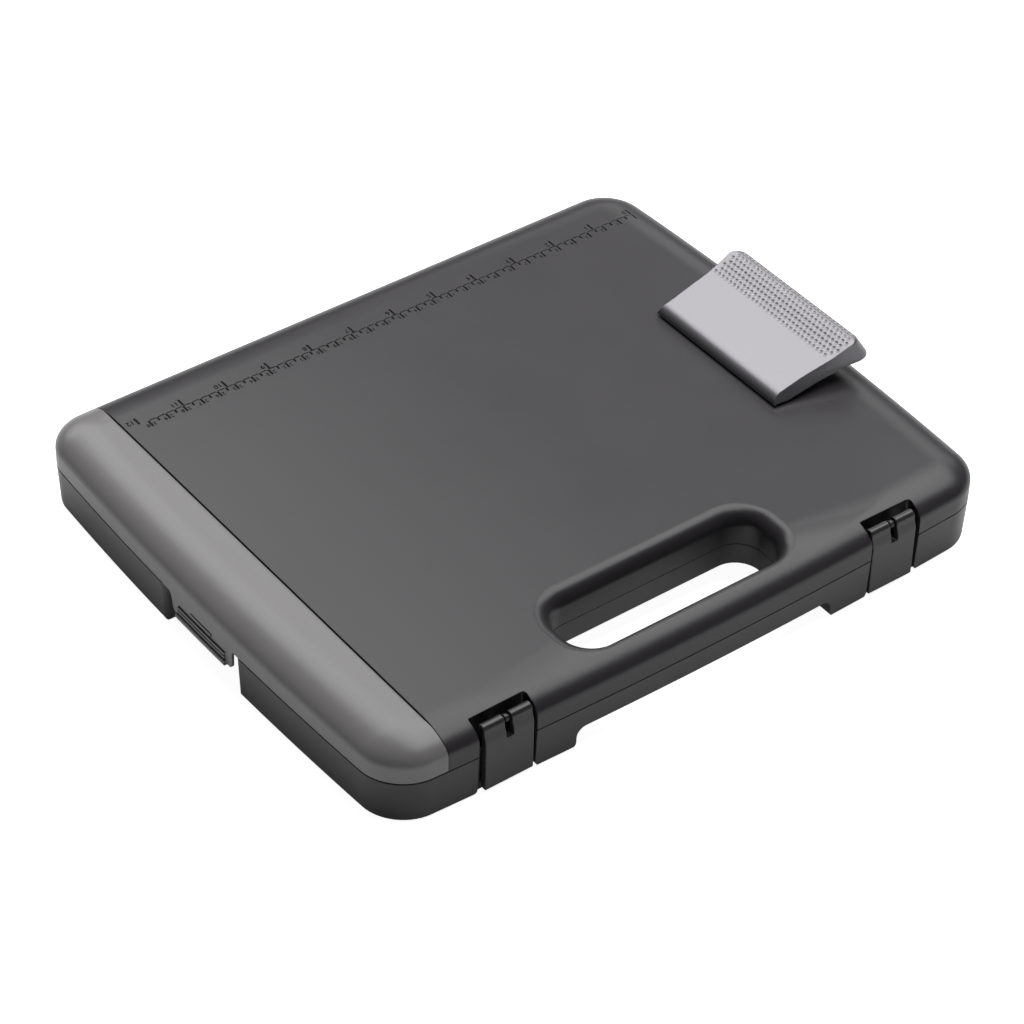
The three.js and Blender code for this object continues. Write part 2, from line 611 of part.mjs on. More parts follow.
// A torsion spring round the axle: one leg lies on the bracket, the other lifts the rear of the lever.
class SpringPath extends THREE.Curve {
  constructor(centreX, turnSign) {
    super();
    this.centreX = centreX;
    this.turnSign = turnSign;
    this.startAngle = -Math.PI / 2;
    this.turn = (SPRING.coils + SPRING.endTurn) * 2 * Math.PI;
    this.coilLength = this.turn * SPRING.coilRadius;
    this.total = this.coilLength + 2 * SPRING.leg;
  }

  onCoil(angleAlong) {
    const angle = this.startAngle - angleAlong;
    const along = (angleAlong / this.turn - 0.5) * SPRING.coils * SPRING.pitch * this.turnSign;
    return new THREE.Vector3(
      this.centreX + along,
      CLIP.axleY + SPRING.coilRadius * Math.cos(angle),
      CLIP.axleZ + SPRING.coilRadius * Math.sin(angle),
    );
  }

  getPoint(t) {
    const distance = t * this.total;
    const angleAlong = THREE.MathUtils.clamp((distance - SPRING.leg) / SPRING.coilRadius, 0, this.turn);
    const point = this.onCoil(angleAlong);
    const before = Math.max(SPRING.leg - distance, 0);
    const after = Math.max(distance - SPRING.leg - this.coilLength, 0);
    const tangentAngle = this.startAngle - this.turn;
    point.y += before;
    point.y += after * Math.sin(tangentAngle);
    point.z -= after * Math.cos(tangentAngle);
    return point;
  }
}

function clipSpring(side) {
  const path = new SpringPath(CLIP.centreX + side * SPRING.at, side);
  const section = new THREE.Shape();
  section.absarc(0, 0, SPRING.wireRadius, 0, 2 * Math.PI, false);
  return solid(new THREE.ExtrudeGeometry(section, {
    steps: 76, curveSegments: 3, bevelEnabled: false, extrudePath: path,
  }));
}

// ---------------------------------------------------------------- rivets, washers and jaw pad

function lathe(profile, x, segments = 20) {
  const geometry = new THREE.LatheGeometry(profile.map(([r, z]) => new THREE.Vector2(r, z)), segments);
  geometry.rotateX(Math.PI / 2);
  geometry.translate(CLIP.centreX + x, CLIP.axleY, 0);
  return solid(geometry);
}

function rivetRod(x, radius) {
  const bottomZ = CASE.height - 8;
  const topZ = CASE.height + 8;
  return lathe([[0, bottomZ], [radius, bottomZ], [radius, topZ], [0, topZ]], x);
}

function clipRivet(x) {
  const washerZ = CASE.height - CASE.skin - RIVET.washerHeight;
  const headZ = CASE.height + BRACKET.sheet;
  return lathe([
    [0, washerZ - RIVET.tailHeight],
    [RIVET.tail * 0.8, washerZ - RIVET.tailHeight],
    [RIVET.tail, washerZ],
    [RIVET.shank, washerZ],
    [RIVET.shank, headZ],
    [RIVET.head, headZ],
    [RIVET.head * 0.75, headZ + RIVET.headHeight * 0.8],
    [0, headZ + RIVET.headHeight],
  ], x);
}

function rivetWasher(x) {
  const topZ = CASE.height - CASE.skin;
  const hole = RIVET.shank + RUN;
  return lathe([
    [hole, topZ - RIVET.washerHeight],
    [RIVET.washer, topZ - RIVET.washerHeight],
    [RIVET.washer, topZ],
    [hole, topZ],
    [hole, topZ - RIVET.washerHeight],
  ], x);
}

function jawPad() {
  return box(CLIP.centreX - PAD.half, CLIP.centreX + PAD.half, PAD.frontY, PAD.rearY, PAD.bottomZ, PAD.topZ);
}

// ---------------------------------------------------------------- assembly

const clipboard = new THREE.Group();

function addPiece(name, body, material) {
  const mesh = new THREE.Mesh(toGeometry(body), material);
  mesh.name = name;
  clipboard.add(mesh);
}

addPiece('base_tray', baseTray(), darkCharcoal);
addPiece('cover_shell', coverShell(), charcoal);
addPiece('compartment_lid', compartmentLid(), midGrey);
addPiece('compartment_hinge_wire', hingeWire(), steel);
addPiece('hinge_pin_pen_end', hingePin(-HINGE.stationY), steel);
addPiece('hinge_pin_clip_end', hingePin(HINGE.stationY), steel);
addPiece('latch_pen_end', latch(-LATCH.centreY), darkCharcoal);
addPiece('latch_clip_end', latch(LATCH.centreY), darkCharcoal);
addPiece('latch_pin_pen_end', latchPin(-LATCH.centreY, LATCH.pinRadius, LATCH.pinLength), steel);
addPiece('latch_pin_clip_end', latchPin(LATCH.centreY, LATCH.pinRadius, LATCH.pinLength), steel);
addPiece('clip_lever', clipLever(), lightGrey);
addPiece('clip_jaw_pad', jawPad(), rubber);
addPiece('clip_bracket', clipBracket(), steel);
addPiece('clip_axle', clipAxle(), steel);
addPiece('clip_spring_left', clipSpring(-1), steel);
addPiece('clip_spring_right', clipSpring(1), steel);
addPiece('clip_rivet_left', clipRivet(-RIVET.at), steel);
addPiece('clip_rivet_right', clipRivet(RIVET.at), steel);
addPiece('rivet_washer_left', rivetWasher(-RIVET.at), steel);
addPiece('rivet_washer_right', rivetWasher(RIVET.at), steel);

export default clipboard;
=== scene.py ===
import math

import bmesh
import bpy
import numpy as np
from mathutils import Matrix, Vector


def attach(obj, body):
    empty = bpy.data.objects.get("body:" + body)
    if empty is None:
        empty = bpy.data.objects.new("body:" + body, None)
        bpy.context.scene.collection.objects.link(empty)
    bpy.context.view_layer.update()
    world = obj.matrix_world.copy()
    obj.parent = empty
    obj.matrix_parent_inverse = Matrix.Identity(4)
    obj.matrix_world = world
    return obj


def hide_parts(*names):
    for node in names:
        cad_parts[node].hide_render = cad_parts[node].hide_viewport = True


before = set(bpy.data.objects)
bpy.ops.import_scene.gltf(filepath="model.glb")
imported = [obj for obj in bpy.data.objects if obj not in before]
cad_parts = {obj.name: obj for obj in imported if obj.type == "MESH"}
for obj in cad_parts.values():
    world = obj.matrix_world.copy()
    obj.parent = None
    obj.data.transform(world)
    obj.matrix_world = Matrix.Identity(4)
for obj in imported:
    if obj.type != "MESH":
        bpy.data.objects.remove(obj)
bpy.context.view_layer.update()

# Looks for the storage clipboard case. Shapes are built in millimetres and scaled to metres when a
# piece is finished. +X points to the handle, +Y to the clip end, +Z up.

MM = 0.001
FAR = 400.0

# ---------------------------------------------------------------- dimensions
# They are the CAD's, except those marked as this model's own.

HEIGHT = 42.5
HINGE_SIDE_X = -151.5
HANDLE_CORNER_X = 146.4
HALF_LENGTH = 177.4
SIDE_BOW = 5.1
END_BOW = 5.2
CORNER_RADIUS = 22.0
PARTING_Z = 23.7
COVER_Z = 24.0
LID_Z = 24.2
ROLL_WIDTH = 21.8
ROLL_HEIGHT = 10.3
WALL = 2.2
SKIN = 2.4
DRAFT = 0.9
BOTTOM_EDGE = 1.5
EDGE = 0.35               # rounding of moulded edges at the parting line
RUN = 0.12

SLOT_X, SLOT_HALF_X, SLOT_HALF_Y, SLOT_RADIUS = 117.5, 17.5, 61.5, 14.0
MOUTH, COLLAR = 8.5, 2.4

RAISED_X, RAISED_Z, RAISED_FLOOR = 86.0, 11.8, 2.2
FOOT_Y, FOOT_TOE, FOOT_FILLET = 76.2, 3.4, 5.2          # this model's own

LATCH_Y, LATCH_WIDTH, POCKET, POCKET_BACK_X, RECESS_X = 114.3, 27.0, 30.4, 141.0, 145.2
PIVOT_X, PIVOT_Z, LATCH_PIN, LATCH_BORE = 145.6, 36.9, 1.2, 26.4
HUB_RADIUS = 2.7                                        # this model's own, smaller than the CAD's
# How the latch openings differ from the CAD's: wider on each side, further back, and shifted in Y.
LATCH_EASE, LATCH_SET_BACK, PEN_END_SHIFT, CLIP_END_SHIFT = 0.6, 1.5, -0.6, 1.3
PLATE_INNER_X, PLATE_OUTER_X, PLATE_BOTTOM_Z = 146.2, 149.8, 2.0

HINGE_X, HINGE_Z, KNUCKLE_RADIUS, KNUCKLE_ROOM, HINGE_PIN = -152.6, 23.85, 3.4, 3.8, 1.25
HINGE_Y, KNUCKLE, KNUCKLE_GAP = 112.0, 14.0, 0.4

LID_AXIS_Y, LID_EDGE, BEAD_RADIUS, BEAD_HALF, WIRE_RADIUS = -148.7, 1.5, 1.9, 127.0, 0.5
LID_AXIS_Z = HEIGHT - LID_EDGE
SEAM_Y = LID_AXIS_Y + LID_EDGE + 0.3
LUG_RADIUS, LUG_WIDTH, LUG_SPACING = 1.0, 8.0, 84.0
PARTITION_FRONT, PARTITION_BACK, PARTITION_TOP = -149.6, -147.6, 38.5

TAB_X, TAB_HALF, TAB_THICKNESS = 0.9, 25.6, 1.4          # the place is this model's own
NOTCH_HALF, NOTCH_BACK, NOTCH_TOP, NOTCH_SLOPE_WALL = 30.5, -165.0, -180.0, 3.0

CLIP_X, CLIP_FRONT, CLIP_FRONT_Z = 4.0, 121.6, 43.6
AXLE_Y, AXLE_Z, AXLE_RADIUS, AXLE_HALF = 150.0, 48.6, 1.6, 40.0
PAD_TOP = 44.0

# The ruler and the dimples are this model's own.
RULER_X, RULER_ZERO_Y, INCH, MARK_DEPTH, MARK_GAP = -119.5, 165.6, 25.4, 0.35, 0.3
INCH_TICK, CM_TICK, HALF_CM_TICK, NUMERAL_HALF = 5.4, 4.7, 2.8, 0.6

# ---------------------------------------------------------------- meshes


def new_object(name, points, faces):
    mesh = bpy.data.meshes.new(name)
    mesh.from_pydata([tuple(float(c) for c in p) for p in points], [], faces)
    obj = bpy.data.objects.new(name, mesh)
    bpy.context.scene.collection.objects.link(obj)
    work = bmesh.new()
    work.from_mesh(mesh)
    bmesh.ops.recalc_face_normals(work, faces=work.faces)
    work.to_mesh(mesh)
    work.free()
    return obj


def loft(rings, name="form"):
    """A closed solid through rings of points, each ring an (n, 3) array."""
    count = len(rings[0])
    faces = []
    for level in range(len(rings) - 1):
        low, high = level * count, (level + 1) * count
        for i in range(count):
            j = (i + 1) % count
            faces.append((low + i, low + j, high + j, high + i))
    faces.append(tuple(range(count)))
    faces.append(tuple(range((len(rings) - 1) * count, len(rings) * count)))
    return new_object(name, np.vstack(rings), faces)


def at_height(outline, z):
    return np.column_stack([outline, np.full(len(outline), z)])


def box(x0, x1, y0, y1, z0, z1):
    outline = np.array([(x0, y0), (x1, y0), (x1, y1), (x0, y1)])
    return loft([at_height(outline, z0), at_height(outline, z1)])


def along(axis, profile, position):
    """A profile as a ring at one position along X or Y; the profile holds the other two axes in order."""
    profile = np.asarray(profile, float)
    return np.insert(profile, 0 if axis == "x" else 1, position, axis=1)


def inset_profile(profile, distance):
    """The anticlockwise profile moved inward by a small distance."""
    profile = np.asarray(profile, float)
    into = profile - np.roll(profile, 1, 0)
    out = np.roll(profile, -1, 0) - profile
    into /= np.linalg.norm(into, axis=1)[:, None]
    out /= np.linalg.norm(out, axis=1)[:, None]
    middle = into + out
    middle /= np.linalg.norm(middle, axis=1)[:, None]
    spread = np.clip((middle * into).sum(1), 0.5, 1)
    normal = np.column_stack([-middle[:, 1], middle[:, 0]])
    return profile + normal * (distance / spread)[:, None]


def prism(axis, profile, start, end, edge=0.0, steps=4):
    """A profile swept along X or Y, with its two end edges rounded."""
    rings = []
    if edge:
        for i in range(steps + 1):
            angle = i / steps * math.pi / 2
            ring = inset_profile(profile, edge * (1 - math.sin(angle)))
            rings.append(along(axis, ring, start + edge * (1 - math.cos(angle))))
        for i in range(steps, -1, -1):
            angle = i / steps * math.pi / 2
            ring = inset_profile(profile, edge * (1 - math.sin(angle)))
            rings.append(along(axis, ring, end - edge * (1 - math.cos(angle))))
    else:
        rings = [along(axis, profile, start), along(axis, profile, end)]
    return loft(rings)


def circle(radius, a, b, count=48):
    angles = np.arange(count) / count * 2 * math.pi
    return np.column_stack([a + radius * np.cos(angles), b + radius * np.sin(angles)])


def rod_y(radius, x, z, y0, y1, edge=0.0, count=48):
    return prism("y", circle(radius, x, z, count), y0, y1, edge)


def rod_x(radius, y, z, x0, x1, edge=0.0, count=48):
    return prism("x", circle(radius, y, z, count), x0, x1, edge)


def rounded_polygon(corners, steps=6):
    """Points round a polygon given as (a, b, radius) corners, anticlockwise."""
    points = []
    places = [np.array(corner[:2], float) for corner in corners]
    for i, corner in enumerate(corners):
        here, radius = places[i], corner[2]
        if not radius:
            points.append(here)
            continue
        back = places[i - 1] - here
        ahead = places[(i + 1) % len(places)] - here
        back /= np.linalg.norm(back)
        ahead /= np.linalg.norm(ahead)
        half = math.acos(np.clip(back @ ahead, -1, 1)) / 2
        reach = radius / math.tan(half)
        bisector = (back + ahead) / np.linalg.norm(back + ahead)
        centre = here + bisector * radius / math.sin(half)
        first, last = here + back * reach - centre, here + ahead * reach - centre
        total = math.acos(np.clip(first @ last / radius ** 2, -1, 1))
        for k in range(steps + 1):
            t = k / steps
            mixed = (math.sin((1 - t) * total) * first + math.sin(t * total) * last) / math.sin(total)
            points.append(centre + mixed)
    return np.array(points)


def bezier(a, b, c, d, steps):
    """Points of a cubic curve from a to d, without a itself."""
    t = (np.arange(1, steps + 1) / steps)[:, None]
    a, b, c, d = (np.array(p, float) for p in (a, b, c, d))
    return (1 - t) ** 3 * a + 3 * (1 - t) ** 2 * t * b + 3 * (1 - t) * t ** 2 * c + t ** 3 * d


def remove(obj):
    mesh = obj.data
    bpy.data.objects.remove(obj)
    bpy.data.meshes.remove(mesh)


def apply_modifiers(obj):
    bpy.context.view_layer.update()
    evaluated = obj.evaluated_get(bpy.context.evaluated_depsgraph_get())
    mesh = bpy.data.meshes.new_from_object(evaluated)
    obj.modifiers.clear()
    old, obj.data = obj.data, mesh
    bpy.data.meshes.remove(old)


def combine(body, others, operation):
    for other in others:
        modifier = body.modifiers.new("combine", "BOOLEAN")
        modifier.operation = operation
        modifier.solver = "MANIFOLD"
        modifier.object = other
    apply_modifiers(body)
    for other in others:
        remove(other)
    return body


def cut(body, cutters):
    return combine(body, cutters, "DIFFERENCE")


def add(body, pieces):
    return combine(body, pieces, "UNION")


def common(body, forms):
    return combine(body, forms, "INTERSECT")


# ---------------------------------------------------------------- the case's forms


def rounded_rectangle(half_x, half_y, radius, corner_steps, side_steps):
    """A rounded rectangle, anticlockwise from the corner at +X -Y; side_steps are for +X, +Y, -X, -Y."""
    points = []
    corners = [(1, -1), (1, 1), (-1, 1), (-1, -1)]
    for corner, (sign_x, sign_y) in enumerate(corners):
        start = (corner - 1) * math.pi / 2
        for i in range(corner_steps + 1):
            angle = start + i / corner_steps * math.pi / 2
            points.append((sign_x * (half_x - radius) + radius * math.cos(angle),
                           sign_y * (half_y - radius) + radius * math.sin(angle)))
        from_x, from_y = points[-1]
        next_x, next_y = corners[(corner + 1) % 4]
        to_x = next_x * (half_x - radius) if corner % 2 else from_x
        to_y = from_y if corner % 2 else next_y * (half_y - radius)
        steps = side_steps[corner]
        for i in range(1, steps):
            t = i / steps
            points.append((from_x + (to_x - from_x) * t, from_y + (to_y - from_y) * t))
    return np.array(points)


CENTRE_X = (HINGE_SIDE_X + HANDLE_CORNER_X) / 2
HALF_X = (HANDLE_CORNER_X - HINGE_SIDE_X) / 2
COARSE = (14, (48, 40, 12, 40))
FINE = (26, (200, 90, 60, 90))


def case_outline(inset, density=COARSE):
    """The plan of the case: three sides bulge, the hinge side is straight."""
    half_x, half_y = HALF_X - inset, HALF_LENGTH - inset
    radius = max(CORNER_RADIUS - inset, 0.3)
    points = rounded_rectangle(half_x, half_y, radius, *density)
    u, v = points[:, 0] / half_x, points[:, 1] / half_y
    return np.column_stack([
        CENTRE_X + points[:, 0] + SIDE_BOW * np.maximum(u, 0) * (1 - v * v),
        points[:, 1] + END_BOW * v * (1 - u * u),
    ])


def slot_outline(outset):
    points = rounded_rectangle(SLOT_HALF_X + outset, SLOT_HALF_Y + outset, SLOT_RADIUS + outset,
                               14, (12, 3, 12, 3))
    return points + [SLOT_X, 0]


def rectangle_distance(x, y, half_x, half_y, radius):
    """Signed distance outside a rounded rectangle centred on the origin."""
    dx, dy = np.abs(x) - half_x + radius, np.abs(y) - half_y + radius
    outside = np.hypot(np.maximum(dx, 0), np.maximum(dy, 0))
    return outside + np.minimum(np.maximum(dx, dy), 0) - radius


def inset_of(x, y):
    """How far a point lies inside the case's plan."""
    inset = np.zeros_like(x)
    for _ in range(5):
        half_x, half_y = HALF_X - inset, HALF_LENGTH - inset
        px, py = x - CENTRE_X, y
        for _ in range(4):
            u, v = px / half_x, py / half_y
            px = x - CENTRE_X - SIDE_BOW * np.maximum(u, 0) * (1 - v * v)
            py = y - END_BOW * v * (1 - u * u)
        inset = np.maximum(-rectangle_distance(px, py, HALF_X, HALF_LENGTH, CORNER_RADIUS), 0)
    return inset


def outset_of(x, y):
    """How far a point lies outside the handle hole."""
    return rectangle_distance(x - SLOT_X, y, SLOT_HALF_X, SLOT_HALF_Y, SLOT_RADIUS)


def quarter_drop(distance, width, height):
    """How far an elliptical shoulder of this width and height lies below the top."""
    t = 1 - np.clip(distance / width, 0, 1)
    return height * (1 - np.sqrt(1 - t * t))


def cover_height(x, y):
    """The top of the cover; the shoulder and the hole's mouth run together in a soft crest."""
    shoulder = quarter_drop(inset_of(x, y), ROLL_WIDTH, ROLL_HEIGHT)
    mouth = quarter_drop(outset_of(x, y), MOUTH, MOUTH)
    blend = 2.4
    return HEIGHT - (shoulder ** blend + mouth ** blend) ** (1 / blend)


def upper_form(bottom_z, inset=0.0, drop=0.0, edge=0.0, steps=16):
    shoulder_z = HEIGHT - drop - ROLL_HEIGHT
    rings = edge_rings(bottom_z, inset, edge)
    for i in range(steps + 1):
        angle = i / steps * math.pi / 2
        outline = case_outline(inset + ROLL_WIDTH * (1 - math.cos(angle)))
        rings.append(at_height(outline, shoulder_z + ROLL_HEIGHT * math.sin(angle)))
    return loft(rings)


def edge_rings(bottom_z, inset, edge):
    if not edge:
        return [at_height(case_outline(inset), bottom_z)]
    return [at_height(case_outline(inset + edge * (1 - math.sin(a))), bottom_z + edge * (1 - math.cos(a)))
            for a in (0, math.pi / 6, math.pi / 3, math.pi / 2)]


def slot_form(bottom_z, grow, drop, steps=12):
    rings = [at_height(slot_outline(grow), bottom_z)]
    for i in range(steps + 1):
        angle = i / steps * math.pi / 2
        outline = slot_outline(grow + MOUTH * (1 - math.cos(angle)))
        rings.append(at_height(outline, HEIGHT - drop - MOUTH * (1 - math.sin(angle))))
    rings.append(at_height(slot_outline(grow + MOUTH), HEIGHT + 3))
    return loft(rings)


def solve(function, inner, outer, targets):
    """Points on the segments from inner to outer where function reaches its target value."""
    low, high = np.zeros(len(inner)), np.ones(len(inner))
    for _ in range(40):
        middle = (low + high) / 2
        place = inner + (outer - inner) * middle[:, None]
        beyond = function(place[:, 0], place[:, 1]) > targets
        high = np.where(beyond, middle, high)
        low = np.where(beyond, low, middle)
    return inner + (outer - inner) * low[:, None]


def cover_blank():
    """The cover as a solid ring between the handle hole's wall and the outer wall."""
    outer = case_outline(0, FINE)
    spine = np.column_stack([np.full(len(outer), SLOT_X), outer[:, 1] / HALF_LENGTH * (SLOT_HALF_Y - 17.4)])
    inner = solve(outset_of, spine, outer, np.zeros(len(outer)))
    middle = (inner + outer) / 2
    mouth = np.minimum(outset_of(middle[:, 0], middle[:, 1]), MOUTH)
    shoulder = np.minimum(inset_of(middle[:, 0], middle[:, 1]), ROLL_WIDTH)
    rings = [at_height(inner, COVER_Z), at_height(inner, HEIGHT - MOUTH - 4)]
    mouth_steps, roll_steps = 12, 18
    for i in range(mouth_steps + 1):
        ease = 1 - math.cos(i / mouth_steps * math.pi / 2)
        place = solve(outset_of, inner, outer, mouth * ease) if i else inner
        z = cover_height(place[:, 0], place[:, 1]) if i else np.full(len(place), HEIGHT - MOUTH)
        rings.append(np.column_stack([place, z]))
    for i in range(roll_steps, -1, -1):
        ease = 1 - math.cos(i / roll_steps * math.pi / 2)
        place = solve(inset_of, outer, inner, shoulder * ease) if i else outer
        z = cover_height(place[:, 0], place[:, 1]) if i else np.full(len(place), HEIGHT - ROLL_HEIGHT)
        rings.append(np.column_stack([place, z]))
    rings.extend(at_height(case_outline(EDGE * (1 - math.sin(a)), FINE), COVER_Z + EDGE * (1 - math.cos(a)))
                 for a in (math.pi / 2, math.pi / 3, math.pi / 6, 0))
    count = len(inner)
    faces = []
    for level in range(len(rings)):
        low, high = level * count, (level + 1) % len(rings) * count
        for i in range(count):
            j = (i + 1) % count
            faces.append((low + i, low + j, high + j, high + i))
    return new_object("cover", np.vstack(rings), faces)


def both(make, at):
    return [make(-at), make(at)]


def knuckle(centre_y, radius, extra=0.0, edge=0.0):
    half = KNUCKLE / 2 + extra
    return rod_y(radius, HINGE_X, HINGE_Z, centre_y - half, centre_y + half, edge)


def base_knuckles(radius, extra=0.0, edge=0.0):
    offset = KNUCKLE + KNUCKLE_GAP
    return [knuckle(sign * HINGE_Y + side * offset, radius, extra, edge)
            for sign in (-1, 1) for side in (-1, 1)]


def hinge_bore(centre_y):
    return rod_y(HINGE_PIN + RUN, HINGE_X, HINGE_Z, centre_y - 2 * KNUCKLE, centre_y + 2 * KNUCKLE)


def latch_pin_bore(centre_y, length):
    return rod_y(LATCH_PIN + RUN, PIVOT_X, PIVOT_Z, centre_y - length / 2, centre_y + length / 2)


def opening_y(latch_y):
    """The middle of the opening over a latch, which is not quite the latch's own."""
    return latch_y + (CLIP_END_SHIFT if latch_y > 0 else PEN_END_SHIFT)


def latch_room(back_x, extra, bottom_z, corner=0.0):
    """Room for a latch; corner rounds the case's bottom edge away beside it."""
    def make(latch_y):
        centre_y, half = opening_y(latch_y), POCKET / 2 + extra
        if not corner:
            return box(back_x, FAR, centre_y - half, centre_y + half, bottom_z, FAR)
        flare = [(half + corner * (1 - math.sin(a)), corner * (1 - math.cos(a)))
                 for a in np.linspace(0, math.pi / 2, 8)]
        right = [(centre_y + y, z) for y, z in flare]
        left = [(centre_y - y, z) for y, z in reversed(flare)]
        ends = [(centre_y + half, FAR), (centre_y - half, FAR)]
        foot = [(centre_y - half - corner, -1), (centre_y + half + corner, -1)]
        return prism("x", foot + right + ends + left, back_x, FAR)
    return make


def cover_latch_room(latch_y):
    """The opening in the cover over a latch, its back corners rounded in plan."""
    half, back_x = POCKET / 2 + LATCH_EASE, POCKET_BACK_X - LATCH_SET_BACK
    centre_y = opening_y(latch_y)
    corners = [(FAR, centre_y - half, 0), (FAR, centre_y + half, 0),
               (back_x, centre_y + half, 2.0), (back_x, centre_y - half, 0.8)]
    return loft([at_height(rounded_polygon(corners, 8), z) for z in (-1, FAR)])


def latch_lug(centre_y):
    """The cover's lug that holds the latch pin, rising to it from low on the opening's back wall."""
    radius, half = 1.9, 0.9
    back_x = POCKET_BACK_X - LATCH_SET_BACK - 1
    angles = np.linspace(-math.pi / 2, math.pi * 0.8, 21)
    profile = [(back_x, 30.8)]
    profile += [(PIVOT_X + radius * math.cos(a), PIVOT_Z + radius * math.sin(a)) for a in angles]
    profile.append((back_x, 33.0))
    return prism("y", profile, centre_y - half, centre_y + half)


def rivet_hole(side):
    radius, spacing = 1.72, 8.5
    outline = circle(radius, CLIP_X + side * spacing, AXLE_Y)
    return loft([at_height(outline, z) for z in (HEIGHT - 8, HEIGHT + 8)])


def build_cover():
    cavity = upper_form(COVER_Z - 1, WALL, SKIN)
    cut(cavity, [
        slot_form(COVER_Z - 2, COLLAR, COLLAR),
        *both(latch_room(POCKET_BACK_X - LATCH_SET_BACK - WALL, WALL + LATCH_EASE, COVER_Z - 2), LATCH_Y),
        box(-FAR, FAR, SEAM_Y - 1, SEAM_Y + 2, PARTITION_TOP - 1, FAR),
    ])
    cover = cut(cover_blank(), [
        cavity,
        box(-FAR, FAR, -FAR, SEAM_Y, -FAR, FAR),
        *both(cover_latch_room, LATCH_Y),
        *base_knuckles(KNUCKLE_ROOM, KNUCKLE_GAP),
        rivet_hole(-1), rivet_hole(1),
    ])
    add(cover, [*both(latch_lug, LATCH_Y), *both(lambda y: knuckle(y, KNUCKLE_RADIUS), HINGE_Y)])
    return cut(cover, [*both(lambda y: latch_pin_bore(y, LATCH_BORE), LATCH_Y), *both(hinge_bore, HINGE_Y)])


def lower_form(bottom_z, top_z, inset=0.0, edge=0.0):
    steps = 5
    rings = []
    for i in range(steps + 1):
        angle = i / steps * math.pi / 2
        outline = case_outline(inset + DRAFT + BOTTOM_EDGE * (1 - math.sin(angle)))
        rings.append(at_height(outline, bottom_z + BOTTOM_EDGE * (1 - math.cos(angle))))
    if edge:
        for angle in (math.pi / 2, math.pi / 3, math.pi / 6, 0):
            rings.append(at_height(case_outline(inset + edge * (1 - math.sin(angle))),
                                   top_z - edge * (1 - math.cos(angle))))
    else:
        rings.append(at_height(case_outline(inset), top_z))
    return loft(rings)


def raised_form(grow, from_x, bottom_z):
    """The space under the handle; each end is a rounded foot, an upright step and a fillet to the roof."""
    top, foot = RAISED_Z + grow, FOOT_Y + grow
    toe, fillet = FOOT_TOE, FOOT_FILLET
    right = [(foot + toe, bottom_z), (foot + toe, -0.1)]
    right += [(foot + toe * (1 - math.sin(a)), toe * (1 - math.cos(a)))
              for a in np.linspace(0, math.pi / 2, 8)]
    right += [(foot - fillet * (1 - math.cos(a)), top - fillet * (1 - math.sin(a)))
              for a in np.linspace(0, math.pi / 2, 9)]
    left = [(-y, z) for y, z in reversed(right)]
    return prism("x", right + left, from_x, FAR)


def lid_lug(centre_x):
    half = LUG_WIDTH / 2
    neck = box(centre_x - half, centre_x + half, LID_AXIS_Y - 0.6, LID_AXIS_Y + 0.3,
               PARTITION_TOP - 1, LID_AXIS_Z)
    return add(neck, [rod_x(LUG_RADIUS, LID_AXIS_Y, LID_AXIS_Z, centre_x - half, centre_x + half)])


def notch_back(z, extra=0.0):
    """Where the finger notch's sloping back stands at height z."""
    return NOTCH_BACK + extra + (NOTCH_TOP - NOTCH_BACK) * z / PARTING_Z


def notch_slope(half, extra, top_z):
    profile = [(-FAR, -1), (notch_back(-1, extra), -1), (notch_back(top_z, extra), top_z), (-FAR, top_z)]
    return prism("x", profile, -half, half)


def notch_room():
    """The opening under the lid's tab, with its lower corners rounded away."""
    half, radius = NOTCH_HALF, 3.0
    flare = [(half + radius * (1 - math.sin(a)), radius * (1 - math.cos(a)))
             for a in np.linspace(0, math.pi / 2, 8)]
    right = [(half + radius, -1)] + flare + [(half, FAR)]
    left = [(-x, z) for x, z in reversed(right)]
    return common(prism("y", left + right, -FAR, NOTCH_BACK + 2), [
        notch_slope(half + radius + 1, 0, PARTING_Z + 1)])


def notch_edge(side, radius):
    """What rounds the upright edge between the pen end's wall and one side of the finger notch."""
    wall_y = float(end_wall_y(side * (NOTCH_HALF + radius)))
    angles = np.linspace(0, math.pi / 2, 11)
    outline = [(side * (NOTCH_HALF + radius * (1 - math.cos(a))), wall_y + radius * (1 - math.sin(a)))
               for a in angles]
    outline += [(side * (NOTCH_HALF + radius), wall_y - 4), (side * (NOTCH_HALF - 2), wall_y - 4),
                (side * (NOTCH_HALF - 2), wall_y + radius)]
    low, high = -1, PARTING_Z + 1
    return loft([at_height(np.array(outline) + [0, DRAFT * (1 - z / PARTING_Z)], z) for z in (low, high)])


